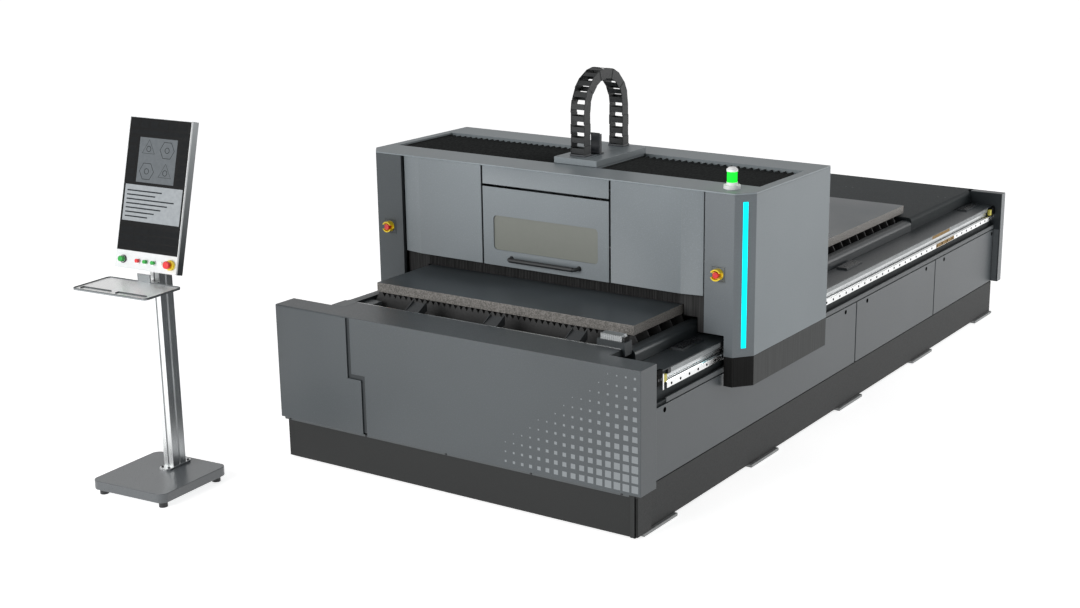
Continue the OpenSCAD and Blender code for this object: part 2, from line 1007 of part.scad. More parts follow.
// Cutting head on the lift slide
module cutting_head() {
  y = neck_y - 12;
  color("#c3c7c9")
    placed() {
      block([car_x - 45, y - 12, g_under - 290], [car_x + 45, y, g_under - 70]);
      block([car_x - 37, y - 78, g_under - 324], [car_x + 37, y - 12 + eps, g_under - 114]);
      translate([car_x, y - 45, 0]) {
        translate([0, 0, g_under - 114 - eps])
          cylinder(r = 28, h = 60);
        translate([0, 0, g_under - 54 - 2 * eps])
          cylinder(r = 14, h = 36);
        translate([0, 0, g_under - 374])
          cylinder(r = 33, h = 50 + eps);
        translate([0, 0, g_under - 429])
          cylinder(r1 = 14, r2 = 33, h = 55 + eps);
      }
    }
}

// Copper nozzle below the cutting head
module nozzle() {
  color("#b8743a")
    placed()
      translate([car_x, neck_y - 57, g_under - 459]) {
        cylinder(r1 = 3, r2 = 10, h = 13);
        translate([0, 0, 13 - eps])
          cylinder(r = 12, h = 17 + eps);
      }
}

// Side plate of a chain link, seen from the side
module link_plate(len) {
  k = chain_h * 0.26;
  h = chain_h / 2;
  polygon([
    [-len / 2 + k, -h], [len / 2 - k, -h],
    [len / 2, -h + k], [len / 2, h - k],
    [len / 2 - k, h], [-len / 2 + k, h],
    [-len / 2, h - k], [-len / 2, -h + k]
  ]);
}

// One chain link along Z, outer or inner plates by turns
module chain_link(len, i) {
  t = 6;
  x0 = chain_w / 2 - (i % 2 == 0 ? t : 2 * t + 0.3);
  rotate([0, -90, 0])
    for (s = [-1, 1])
      translate([0, 0, s > 0 ? x0 : -x0 - t])
        linear_extrude(t)
          link_plate(len + 15);
  for (y = [-chain_h / 2 + 1, chain_h / 2 - 6])
    block([-x0 - 2, y, -len * 0.3], [x0 + 2, y + 5, len * 0.3]);
}

// Drag chain standing in a loop over the carriage
module drag_chain() {
  n_arc = 10;
  arc = 180 / n_arc;
  chord = 2 * chain_r * tan(arc / 2);
  color("#2e3032")
    placed()
      translate([chain_x, chain_y, 0]) {
        for (i = [0:3], s = [-1, 1])
          translate([0, s * chain_r, plate_top + 7.6 + (i + 0.5) * (chain_leg - 7.6) / 4])
            chain_link((chain_leg - 7.6) / 4, s > 0 ? i + 1 : i);
        for (i = [0:n_arc - 1])
          translate([0, 0, chain_cz])
            rotate([-(i + 0.5) * arc, 0, 0])
              translate([0, -chain_r, 0])
                chain_link(chord, i);
      }
}

// Feet of the chain and the bracket between its legs
module chain_feet() {
  a = chain_w / 2;
  b = chain_h / 2;
  color("#222527")
    placed()
      translate([chain_x, chain_y, plate_top]) {
        for (s = [-1, 1])
          translate([0, s * chain_r, 0])
            difference() {
              block([-a - 10, -b - 8, 0], [a + 10, b + 8, 14]);
              block([-a - 0.8, -b - 0.8, -1], [a + 0.8, b + 0.8, 15]);
            }
        block([10, -chain_r + 76, 0], [62, -chain_r + 82, 108]);
        block([10, -chain_r + 76, 0], [62, -chain_r + 116, 6]);
      }
}

// One run of pleats between two end strips
module pleats(x0, x1) {
  n = floor((x1 - x0 - 8) / pleat_pitch);
  p = (x1 - x0 - 8) / n;
  zt = g_under - 3;
  zb = g_under - 27;
  t = 2.4;
  y0 = open_y0 + 3;
  y1 = open_y1 - 3;
  prism_y(y0, y1)
    polygon(concat(
      [for (i = [0:2 * n]) [x0 + 4 + i * p / 2, i % 2 == 0 ? zb : zt]],
      [for (i = [2 * n:-1:0]) [x0 + 4 + i * p / 2, (i % 2 == 0 ? zb : zt) - t]]
    ));
  block([x0, y0, g_under - 31], [x0 + 4 + eps, y1, g_under - 1]);
  block([x1 - 4 - eps, y0, g_under - 31], [x1, y1, g_under - 1]);
}

// Pleated bellows that close the top opening
module bellows() {
  color("#232527")
    placed() {
      pleats(-open_half, plate_x0 + 4);
      pleats(plate_x1 - 4, open_half);
    }
}

// Local frame of the console on its pole
module on_console() {
  placed()
    translate([cons_x, cons_y, 0])
      rotate([0, 0, console_yaw])
        children();
}

// Local frame of the console head: bottom edge of its front, face towards minus Y
module on_head() {
  on_console()
    translate([head_dx, head_dy, head_z])
      rotate([-head_tilt, 0, 0])
        children();
}

// Foot of the console on four pads
module console_base() {
  color("#585d60")
    on_console()
      translate([0, base_dy, 0]) {
        translate([0, 0, 30])
          linear_extrude(45)
            rounded(base_w, base_d, base_r);
        for (sx = [-1, 1], sy = [-1, 1])
          translate([sx * (base_w / 2 - 39), sy * (base_d / 2 - 42), 0])
            cylinder(r = 20, h = 30 + eps);
      }
}

// Profiled pole with its flange and head bracket
module console_column() {
  color("#8f9496")
    on_console() {
      translate([0, 0, 85 - eps])
        linear_extrude(977 + eps)
          difference() {
            square([pole_w, pole_d], center = true);
            for (s = [-1, 1]) {
              translate([s * pole_w / 2, 0])
                square([12, 9], center = true);
              translate([0, s * pole_d / 2])
                square([9, 12], center = true);
            }
          }
      translate([0, 0, 75])
        linear_extrude(10)
          polygon([
            [-32, -70], [-20, -86], [20, -86], [32, -70],
            [32, 70], [20, 86], [-20, 86], [-32, 70]
          ]);
      translate([head_dx, head_dy, head_z])
        rotate([-head_tilt, 0, 0])
          block([-26, head_t, 5], [44, head_t + 32, 170]);
    }
}

// Keyboard tray with its arm and back plate
module console_tray() {
  rear = tray_dy + tray_d / 2;
  color("#b5b9bb")
    on_console() {
      difference() {
        translate([tray_dx, tray_dy, tray_z - 3])
          linear_extrude(6)
            rounded(tray_w, tray_d, tray_r);
        translate([tray_dx, tray_dy, 0])
          for (x = [-tray_w / 2 + 30, 20])
            block([x, -tray_d / 2 + 38, tray_z - 4], [x + tray_w / 2 - 50, -tray_d / 2 + 46, tray_z + 4]);
      }
      block([-28, rear - 60, tray_z - 15], [28, -pole_d / 2, tray_z - 3 + eps]);
      block([-50, -101, tray_z + 3 - eps], [26, -95, tray_z + 42]);
    }
}

// Places of the push buttons along the control strip
btn_z = 42;
btn_x = [-135, -45, 1, 48, 97, 152];

// Leaning housing with the control strip and the screen recess
module console_housing() {
  h = head_w / 2;
  color("#c9cccd")
    on_head()
      difference() {
        union() {
          block([-h, 0, 0], [h, head_t, head_h]);
          for (i = [1:4])
            translate([btn_x[i], 0, btn_z])
              rod_y(12, -3, eps);
          translate([btn_x[0], 0, btn_z])
            rod_y(17, -6, eps);
        }
        block([-h + 3, -1, 84], [h - 3, 6, head_h - 3]);
        for (i = [1:4])
          translate([btn_x[i], 0, btn_z])
            rod_y(9.3, -4, 14);
        translate([btn_x[0], 0, btn_z])
          rod_y(13.3, -7, 14);
        translate([btn_x[5], 0, btn_z])
          rod_y(9.3, -1, 16);
      }
}

// Screen of the console
module console_screen() {
  h = head_w / 2;
  color("#0d0e10")
    on_head()
      block([-h + 3.5, 1, 84.5], [h - 3.5, 6, head_h - 3.5]);
}

// Yellow collar of the console stop button
module console_estop_collar() {
  color("#f0d01a")
    on_head()
      translate([btn_x[5], 0, btn_z])
        difference() {
          rod_y(24, -16, 0);
          rod_y(9.3, -17, 1);
        }
}

// Mushroom stop button of the console
module console_estop() {
  color("#d01f22")
    on_head()
      translate([btn_x[5], 0, btn_z]) {
        rod_y(18, -40, -24);
        rod_y(9, -25, 8);
      }
}

// Large push button at the left of the control strip
module power_button() {
  color("#159a37")
    on_head()
      translate([btn_x[0], 0, btn_z])
        rod_y(13, -26, 8);
}

// Small push button of the control strip
module strip_button(i) {
  on_head()
    translate([btn_x[i], 0, btn_z])
      rod_y(9, -16, 9);
}

module stop_button() {
  color("#d6282b")
    strip_button(1);
}

module start_button() {
  color("#16a83b")
    strip_button(2);
}

module resume_button() {
  color("#16a83b")
    strip_button(3);
}

module lamp_button() {
  color("#e9eeea")
    strip_button(4);
}

foot_plates();
plinth();
bed_frame();
front_cover_main();
front_cover_left();
rear_cover();
rear_deck();
side_panels_right();
side_panels_left();
side_decks();
guide_rails();
gear_racks();
rail_stops();
stop_bumpers();
slat_rims();
slats();
sheet_guides();
calibration_station();
work_sheet();
gantry_saddles();
bearing_blocks();
drive_motors();
cross_beam();
column_cover_right();
column_cover_left();
column_skirts();
top_frame();
front_frame();
front_panels();
rear_panel();
brush_curtains();
estop_shrouds();
estop_button_right();
estop_button_left();
light_strip();
signal_housing();
signal_lens();
hinge_leaves();
door_panel();
door_window();
door_handle();
carriage_plate();
carriage_saddle();
cutting_head();
nozzle();
drag_chain();
chain_feet();
bellows();
console_base();
console_column();
console_tray();
console_housing();
console_screen();
console_estop_collar();
console_estop();
power_button();
stop_button();
start_button();
resume_button();
lamp_button();
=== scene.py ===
"""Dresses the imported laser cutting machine: finishes, fasteners, teeth, pleats, screen and studio."""

import json
import logging
import math
from dataclasses import dataclass, field
from enum import Enum

import bmesh
import bpy
from mathutils import Euler, Matrix, Vector

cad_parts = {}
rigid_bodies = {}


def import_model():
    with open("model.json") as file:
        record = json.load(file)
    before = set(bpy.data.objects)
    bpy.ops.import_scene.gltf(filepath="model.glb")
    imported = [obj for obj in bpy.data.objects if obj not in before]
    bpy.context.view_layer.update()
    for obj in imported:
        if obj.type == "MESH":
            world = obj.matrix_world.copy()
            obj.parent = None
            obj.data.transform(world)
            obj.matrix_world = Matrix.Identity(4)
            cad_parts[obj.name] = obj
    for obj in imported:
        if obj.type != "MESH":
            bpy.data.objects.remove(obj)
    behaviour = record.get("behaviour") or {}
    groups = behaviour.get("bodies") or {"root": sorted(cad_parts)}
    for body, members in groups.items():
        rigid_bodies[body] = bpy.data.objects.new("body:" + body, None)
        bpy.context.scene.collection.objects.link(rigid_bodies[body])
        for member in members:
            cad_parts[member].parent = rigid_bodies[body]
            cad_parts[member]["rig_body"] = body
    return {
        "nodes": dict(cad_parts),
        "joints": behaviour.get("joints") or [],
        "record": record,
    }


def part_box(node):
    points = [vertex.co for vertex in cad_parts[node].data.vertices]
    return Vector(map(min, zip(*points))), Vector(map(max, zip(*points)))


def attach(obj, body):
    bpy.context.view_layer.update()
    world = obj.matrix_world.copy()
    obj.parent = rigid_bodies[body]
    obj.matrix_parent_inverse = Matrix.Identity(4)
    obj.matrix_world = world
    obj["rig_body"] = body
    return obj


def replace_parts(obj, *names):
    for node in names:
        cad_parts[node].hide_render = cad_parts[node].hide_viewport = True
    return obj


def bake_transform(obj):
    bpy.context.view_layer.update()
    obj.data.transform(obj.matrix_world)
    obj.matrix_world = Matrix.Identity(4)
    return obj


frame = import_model()

LOG = logging.getLogger("laser_cutter")
MM = 0.001
# Thin plates that lie on a face, how deep they sink into it, and the play between pieces
FILM = 0.4 * MM
SKIN = 0.3 * MM
SINK = 0.2 * MM
CLEAR = 1 * MM
# Foot of the console's pole from the bed's front, and its leaning head from that foot
POLE_PLACE = (-1266 * MM, -507 * MM, 0.0)
HEAD_PLACE = (-9 * MM, -92.6 * MM, 1056 * MM)
Colour = tuple[float, float, float, float]


class Body(str, Enum):
    """Rigid bodies of the frame that carry pieces made here."""

    BED = "bed"
    GANTRY = "gantry"
    DOOR = "door"
    CARRIAGE = "carriage"
    GANTRY_STOP_RIGHT = "gantry_stop_right"
    GANTRY_STOP_LEFT = "gantry_stop_left"
    CONSOLE_STOP = "console_stop"
    POWER = "power_push"
    STOP = "stop_push"
    START = "start_push"
    RESUME = "resume_push"
    LAMP = "lamp_push"


class Slot(str, Enum):
    """Material slots of the record."""

    DARK_PAINT = "dark_paint"
    BED_PAINT = "bed_paint"
    DECK_PAINT = "deck_paint"
    GANTRY_PAINT = "gantry_paint"
    MACHINED = "machined_steel"
    SLAT = "slat_steel"
    SHEET = "sheet_steel"
    BLACK_PAINT = "black_paint"
    YELLOW = "yellow_plastic"
    RED = "red_plastic"
    GREEN = "green_plastic"
    WHITE = "white_plastic"
    BRUSH = "brush_fibre"
    BELLOWS = "bellows_fabric"
    CHAIN = "chain_plastic"
    GLASS = "tinted_glass"
    LIGHT = "light_diffuser"
    LENS = "green_lens"
    SCREEN = "screen_glass"
    PROFILE = "aluminium_profile"
    CONSOLE = "console_silver"
    COPPER = "copper"


class Side(Enum):
    """Sides of the machine, by the sign of X."""

    RIGHT = 1
    LEFT = -1

    @property
    def word(self) -> str:
        """Returns the side's name as the pieces use it."""
        return self.name.lower()

    @property
    def outwards(self) -> Vector:
        """Returns the direction away from the machine."""
        return Vector((self.value, 0, 0))

    def face(self, node: str) -> float:
        """Returns where a node's outer face lies across the machine.

        Args:
            node: name of the node.

        Returns:
            The face's X in metres.
        """
        low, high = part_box(node)
        return high.x if self is Side.RIGHT else low.x


def linear(code: str) -> Colour:
    """Turns a display colour into the linear colour that shaders use.

    Args:
        code: six hex digits after a hash sign.

    Returns:
        Red, green, blue and full alpha.
    """
    parts = [int(code[i : i + 2], 16) / 255 for i in (1, 3, 5)]
    low = [p / 12.92 if p <= 0.04045 else ((p + 0.055) / 1.055) ** 2.4 for p in parts]
    return (low[0], low[1], low[2], 1.0)


def shade(colour: Colour, factor: float) -> Colour:
    """Returns the colour made lighter or darker by a factor."""
    return (colour[0] * factor, colour[1] * factor, colour[2] * factor, 1.0)


class Graph:
    """Builds the node graph of one material."""

    def __init__(self, name: str) -> None:
        """Starts a material with a Principled shader.

        Args:
            name: name of the material.
        """
        self.material = bpy.data.materials.new(name)
        self.material.use_nodes = True
        self.tree = self.material.node_tree
        self.shader = self.tree.nodes["Principled BSDF"]
        self.coords = self.add("ShaderNodeTexCoord").outputs["Object"]

    def add(self, kind: str) -> bpy.types.Node:
        """Adds a node of a kind."""
        return self.tree.nodes.new(kind)

    def link(self, source: bpy.types.NodeSocket, target: bpy.types.NodeSocket) -> None:
        """Links two sockets."""
        self.tree.links.new(source, target)

    def set(self, socket: str, value: float | Colour) -> None:
        """Sets a constant on the shader."""
        self.shader.inputs[socket].default_value = value

    def mapped(self, scale: tuple[float, float, float]) -> bpy.types.NodeSocket:
        """Returns object coordinates stretched by a scale."""
        node = self.add("ShaderNodeMapping")
        node.inputs["Scale"].default_value = scale
        self.link(self.coords, node.inputs["Vector"])
        return node.outputs["Vector"]

    def local(self, place: Vector, turn: Euler) -> bpy.types.NodeSocket:
        """Returns coordinates in a tilted frame.

        Args:
            place: origin of that frame.
            turn: turn of that frame.

        Returns:
            The vector socket.
        """
        node = self.add("ShaderNodeMapping")
        node.vector_type = "TEXTURE"
        node.inputs["Location"].default_value = place
        node.inputs["Rotation"].default_value = turn
        self.link(self.coords, node.inputs["Vector"])
        return node.outputs["Vector"]

    def noise(
        self,
        scale: float,
        detail: float = 2.0,
        stretch: tuple[float, float, float] = (1.0, 1.0, 1.0),
    ) -> bpy.types.NodeSocket:
        """Adds a noise texture.

        Args:
            scale: cells in a metre.
            detail: octaves.
            stretch: scale along each axis.

        Returns:
            The value socket.
        """
        node = self.add("ShaderNodeTexNoise")
        node.inputs["Scale"].default_value = scale
        node.inputs["Detail"].default_value = detail
        self.link(self.mapped(stretch), node.inputs["Vector"])
        return node.outputs[0]

    def remap(
        self, value: bpy.types.NodeSocket, span: tuple[float, float], out: tuple[float, float]
    ) -> bpy.types.NodeSocket:
        """Maps a value from one range to another, clamped."""
        node = self.add("ShaderNodeMapRange")
        node.inputs["From Min"].default_value = span[0]
        node.inputs["From Max"].default_value = span[1]
        node.inputs["To Min"].default_value = out[0]
        node.inputs["To Max"].default_value = out[1]
        self.link(value, node.inputs["Value"])
        return node.outputs["Result"]

    def mix(
        self,
        factor: bpy.types.NodeSocket,
        first: Colour | bpy.types.NodeSocket,
        second: Colour | bpy.types.NodeSocket,
    ) -> bpy.types.NodeSocket:
        """Mixes two colours by a factor."""
        node = self.add("ShaderNodeMix")
        node.data_type = "RGBA"
        self.link(factor, node.inputs[0])
        for index, value in ((6, first), (7, second)):
            if isinstance(value, tuple):
                node.inputs[index].default_value = value
            else:
                self.link(value, node.inputs[index])
        return node.outputs[2]

    def facing(self, axis: str) -> bpy.types.NodeSocket:
        """Returns how far a face looks along an axis, either way.

        Args:
            axis: X, Y or Z.

        Returns:
            The value socket, from nought to one.
        """
        split = self.add("ShaderNodeSeparateXYZ")
        self.link(self.add("ShaderNodeNewGeometry").outputs["True Normal"], split.inputs[0])
        size = self.add("ShaderNodeMath")
        size.operation = "ABSOLUTE"
        self.link(split.outputs[axis], size.inputs[0])
        return size.outputs[0]

    def bump(self, height: bpy.types.NodeSocket, strength: float, depth: float) -> None:
        """Puts a bump on the shader's normal."""
        node = self.add("ShaderNodeBump")
        node.inputs["Strength"].default_value = strength
        node.inputs["Distance"].default_value = depth
        self.link(height, node.inputs["Height"])
        self.link(node.outputs["Normal"], self.shader.inputs["Normal"])

    def feed(self, socket: str, value: bpy.types.NodeSocket) -> None:
        """Links a value to an input of the shader."""
        self.link(value, self.shader.inputs[socket])

    def cloud(self, scale: float, detail: float = 2.0) -> bpy.types.NodeSocket:
        """Returns soft patches from nought to one.

        Args:
            scale: cells in a metre.
            detail: octaves.

        Returns:
            The value socket.
        """
        return self.remap(self.noise(scale, detail), (0.3, 0.7), (0.0, 1.0))

    def tone(
        self, factor: bpy.types.NodeSocket, colour: Colour, low: float, high: float
    ) -> bpy.types.NodeSocket:
        """Mixes a darker and a lighter shade of one colour by a factor."""
        return self.mix(factor, shade(colour, low), shade(colour, high))

    def dull(self, value: bpy.types.NodeSocket, rough: float, less: float = 0.05, more: float = 0.08) -> None:
        """Lets the roughness follow a value.

        Args:
            value: socket with values around a half.
            rough: middle roughness.
            less: how far it falls below the middle.
            more: how far it rises above the middle.
        """
        self.feed("Roughness", self.remap(value, (0.3, 0.7), (rough - less, rough + more)))


@dataclass(frozen=True)
class PowderCoat:
    """Fine-textured baked paint with light specks; where a side colour is given, faces that look along one
    axis take it as painted light or shade.
    """

    name: str
    colour: str
    speck: float = 1.5
    rough: float = 0.5
    coat: float = 0.0
    shine: float = 0.5
    side: str = ""
    axis: str = "X"

    def build(self) -> bpy.types.Material:
        """Returns the material."""
        graph = Graph(self.name)
        base = linear(self.colour)
        broad = graph.cloud(1.4)
        ground = graph.tone(broad, base, 0.93, 1.07)
        # Painted light or shade: faces that look along the axis take the side colour.
        if self.side:
            turned = graph.remap(graph.facing(self.axis), (0.9, 0.95), (0.0, 1.0))
            ground = graph.mix(turned, ground, graph.tone(broad, linear(self.side), 0.93, 1.07))
        grain = graph.noise(190.0, 4.0)
        specks = graph.remap(grain, (0.52, 0.78), (0.0, 0.75))
        graph.feed("Base Color", graph.mix(specks, ground, shade(base, self.speck)))
        graph.dull(grain, self.rough)
        graph.bump(grain, 0.12, 0.0006)
        graph.set("Specular IOR Level", self.shine)
        graph.set("Coat Weight", self.coat)
        graph.set("Coat Roughness", 0.25)
        return graph.material


@dataclass(frozen=True)
class BrushedMetal:
    """Ground or extruded metal with fine lines one way; where a side colour is given, faces that look along
    one axis take it as painted light or shade.
    """

    name: str
    colour: str
    stretch: tuple[float, float, float] = (4.0, 900.0, 900.0)
    rough: float = 0.34
    metal: float = 0.85
    wear: float = 0.72
    side: str = ""
    axis: str = "X"

    def build(self) -> bpy.types.Material:
        """Returns the material."""
        graph = Graph(self.name)
        base, half_worn = linear(self.colour), (1.0 + self.wear) / 2
        lines = graph.noise(1.0, 3.0, self.stretch)
        cloud = graph.cloud(6.0)
        ground = graph.tone(cloud, base, half_worn, 1.0)
        dark = shade(base, self.wear)
        # Painted light or shade: faces that look along the axis take the side colour.
        if self.side:
            other = linear(self.side)
            turned = graph.remap(graph.facing(self.axis), (0.6, 0.7), (0.0, 1.0))
            ground = graph.mix(turned, ground, graph.tone(cloud, other, half_worn, 1.0))
            dark = graph.mix(turned, dark, shade(other, self.wear))
        streak = graph.remap(lines, (0.4, 0.7), (0.0, 0.6))
        graph.feed("Base Color", graph.mix(streak, ground, dark))
        graph.dull(lines, self.rough, 0.08, 0.12)
        graph.bump(lines, 0.08, 0.0004)
        graph.set("Metallic", self.metal)
        return graph.material


@dataclass(frozen=True)
class Moulded:
    """Moulded plastic with a faint texture."""

    name: str
    colour: str
    rough: float = 0.32
    coat: float = 0.2
    cloud: float = 0.07
    grain: float = 0.05
    shine: float = 0.5

    def build(self) -> bpy.types.Material:
        """Returns the material."""
        graph = Graph(self.name)
        base = linear(self.colour)
        graph.feed("Base Color", graph.tone(graph.cloud(40.0), base, 1.0 - self.cloud, 1.0 + self.cloud))
        fine = graph.noise(700.0)
        graph.dull(fine, self.rough)
        graph.bump(fine, self.grain, 0.0003)
        graph.set("Specular IOR Level", self.shine)
        graph.set("Coat Weight", self.coat)
        graph.set("Coat Roughness", 0.15)
        return graph.material


@dataclass(frozen=True)
class Lit:
    """Diffuser that glows in its own colour."""

    name: str
    colour: str
    strength: float

    def build(self) -> bpy.types.Material:
        """Returns the material."""
        graph = Graph(self.name)
        colour = graph.tone(graph.cloud(60.0, 1.0), linear(self.colour), 0.9, 1.0)
        graph.feed("Base Color", colour)
        graph.feed("Emission Color", colour)
        graph.set("Emission Strength", self.strength)
        graph.set("Specular IOR Level", 0.0)
        graph.set("Roughness", 0.3)
        return graph.material


@dataclass(frozen=True)
class Fibre:
    """Brush or coated cloth with fine upright threads; where a lit flank colour is given, the long sides take
    it as painted light.
    """

    name: str
    dark: str
    light: str
    stretch: tuple[float, float, float] = (420.0, 420.0, 3.0)
    rough: float = 0.85
    # Colour of the long sides that look along X, painted light
    flank: str = ""

    def build(self) -> bpy.types.Material:
        """Returns the material."""
        graph = Graph(self.name)
        threads = graph.noise(1.0, 2.0, self.stretch)
        share = graph.remap(threads, (0.35, 0.65), (0.0, 1.0))
        colour = graph.mix(share, linear(self.dark), linear(self.light))
        # Painted light: faces that look along X take the paler flank colour.
        if self.flank:
            lit_flank_colour = graph.tone(share, linear(self.flank), 0.8, 1.15)
            colour = graph.mix(graph.remap(graph.facing("X"), (0.9, 0.95), (0.0, 1.0)), colour, lit_flank_colour)
        graph.feed("Base Color", colour)
        graph.dull(threads, self.rough, 0.1, 0.1)
        graph.bump(threads, 0.4, 0.001)
        graph.set("Specular IOR Level", 0.15)
        return graph.material


@dataclass(frozen=True)
class MillScale:
    """Hot-rolled plate: blue-grey scale on top, rough pale edges."""

    name: str
    top: str
    edge: str

    def build(self) -> bpy.types.Material:
        """Returns the material."""
        graph = Graph(self.name)
        cloud = graph.cloud(2.2, 4.0)
        scale = graph.tone(cloud, linear(self.top), 0.8, 1.3)
        grit = graph.noise(170.0, 4.0)
        rust = graph.tone(graph.remap(grit, (0.35, 0.68), (0.0, 1.0)), linear(self.edge), 0.55, 1.35)
        upper = graph.remap(graph.facing("Z"), (0.4, 0.6), (0.0, 1.0))
        graph.feed("Base Color", graph.mix(upper, rust, scale))
        graph.feed("Roughness", graph.remap(cloud, (0.0, 1.0), (0.26, 0.38)))
        graph.bump(grit, 0.25, 0.001)
        graph.set("Specular IOR Level", 0.22)
        graph.set("Metallic", 0.1)
        return graph.material


@dataclass(frozen=True)
class Layered:
    """Console shell: pale front and, behind a plane of its tilted frame, a body with painted light that pales
    it upwards to the crown colour.
    """

    name: str
    front: str
    body: str
    # Colour at the top of the body, painted light
    crown: str
    place: Vector
    turn: Euler
    depth: float

    def build(self) -> bpy.types.Material:
        """Returns the material."""
        graph = Graph(self.name)
        split = graph.add("ShaderNodeSeparateXYZ")
        graph.link(graph.local(self.place, self.turn), split.inputs[0])
        behind = graph.remap(split.outputs["Y"], (self.depth, self.depth + 0.0005), (0.0, 1.0))
        grain = graph.noise(420.0, 3.0)
        pale = graph.tone(graph.remap(grain, (0.35, 0.7), (0.0, 1.0)), linear(self.front), 0.93, 1.06)
        # Painted light: the body grows paler towards the top.
        painted_light_rise = graph.remap(split.outputs["Z"], (0.05, 0.66), (0.0, 1.0))
        dark = graph.mix(painted_light_rise, linear(self.body), linear(self.crown))
        graph.feed("Base Color", graph.mix(behind, pale, dark))
        graph.feed("Roughness", graph.remap(behind, (0.0, 1.0), (0.55, 0.5)))
        graph.bump(grain, 0.08, 0.0005)
        graph.set("Metallic", 0.05)
        return graph.material


class Mould:
    """Collects simple solids into one mesh."""

    def __init__(self) -> None:
        """Starts an empty mesh."""
        self.bm = bmesh.new()

    def block(self, corner: Vector, other: Vector) -> "Mould":
        """Adds a box between two opposite corners."""
        low = Vector([min(pair) for pair in zip(corner, other)])
        high = Vector([max(pair) for pair in zip(corner, other)])
        made = bmesh.ops.create_cube(self.bm, size=1.0)["verts"]
        place = Matrix.Translation((low + high) / 2) @ Matrix.Diagonal((*(high - low), 1.0))
        bmesh.ops.transform(self.bm, matrix=place, verts=made)
        return self

    def rod(
        self, centre: Vector, axis: Vector, radius: float, length: float, segments: int = 20, tip: float = 1.0
    ) -> "Mould":
        """Adds a round rod or cone.

        Args:
            centre: middle of its foot.
            axis: direction from foot to top.
            radius: radius of the foot.
            length: height of the rod.
            segments: corners of the circle.
            tip: radius of the top as a share of the foot's.

        Returns:
            The mould itself.
        """
        axis = Vector(axis).normalized()
        made = bmesh.ops.create_cone(
            self.bm,
            cap_ends=True,
            segments=segments,
            radius1=radius,
            radius2=radius * tip,
            depth=length,
        )["verts"]
        turn = axis.to_track_quat("Z", "Y").to_matrix().to_4x4()
        bmesh.ops.transform(
            self.bm, matrix=Matrix.Translation(Vector(centre) + axis * (length / 2)) @ turn, verts=made
        )
        return self

    def prism(self, outline: list[Vector], depth: Vector) -> "Mould":
        """Adds a flat outline pulled along a vector."""
        verts = [self.bm.verts.new(p) for p in outline]
        face = self.bm.faces.new(verts)
        pulled = bmesh.ops.extrude_face_region(self.bm, geom=[face])["geom"]
        moved = [g for g in pulled if isinstance(g, bmesh.types.BMVert)]
        bmesh.ops.translate(self.bm, vec=depth, verts=moved)
        return self

    def turned(self, matrix: Matrix) -> "Mould":
        """Moves everything made so far by a matrix."""
        bmesh.ops.transform(self.bm, matrix=matrix, verts=self.bm.verts[:])
        return self

    def mesh(self, name: str, smooth: float = 30.0) -> bpy.types.Mesh:
        """Closes the mould.

        Args:
            name: name of the mesh.
            smooth: edges under this angle are shaded round, in degrees.

        Returns:
            The mesh.
        """
        bmesh.ops.recalc_face_normals(self.bm, faces=self.bm.faces[:])
        made = bpy.data.meshes.new(name)
        self.bm.to_mesh(made)
        self.bm.free()
        made.shade_smooth()
        made.set_sharp_from_angle(angle=math.radians(smooth))
        return made


@dataclass(frozen=True)
class Pin:
    """Sizes of a small round piece: a screw head, a cap, a sleeve or a bristle."""

    radius: float
    tall: float
    corners: int = 12
    tip: float = 1.0

    def stand(self, mould: Mould, spot: Vector, axis: Vector) -> Mould:
        """Adds one to a mould.

        Args:
            mould: the mould that takes it.
            spot: middle of its foot.
            axis: direction from foot to top.

        Returns:
            The mould.
        """
        return mould.rod(spot, axis, self.radius, self.tall, self.corners, self.tip)

    def mesh(self, name: str, axis: Vector) -> bpy.types.Mesh:
        """Returns the mesh of one at the origin."""
        return self.stand(Mould(), (0, 0, 0), axis).mesh(name)


def centre_x() -> float:
    """Returns the middle of the bed across its width."""
    low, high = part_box("front_cover_main")
    return (low.x + high.x) / 2


def slot_of(node: str) -> Slot:
    """Returns the record's slot of a node."""
    return Slot(next(p["material_slot"] for p in frame["record"]["subparts"] if p["node"] == node))


def place_object(name: str, data: bpy.types.ID) -> bpy.types.Object:
    """Puts an object with its data into the scene."""
    made = bpy.data.objects.new(name, data)
    bpy.context.scene.collection.objects.link(made)
    return made


def solid_copy(source: bpy.types.Object, name: str) -> bpy.types.Mesh:
    """Returns the evaluated object as a plain mesh.

    Args:
        source: an object with modifiers.
        name: name of the mesh.

    Returns:
        The plain mesh.
    """
    bpy.context.view_layer.update()
    depsgraph = bpy.context.evaluated_depsgraph_get()
    made = bpy.data.meshes.new_from_object(source.evaluated_get(depsgraph))
    made.name = name
    return made


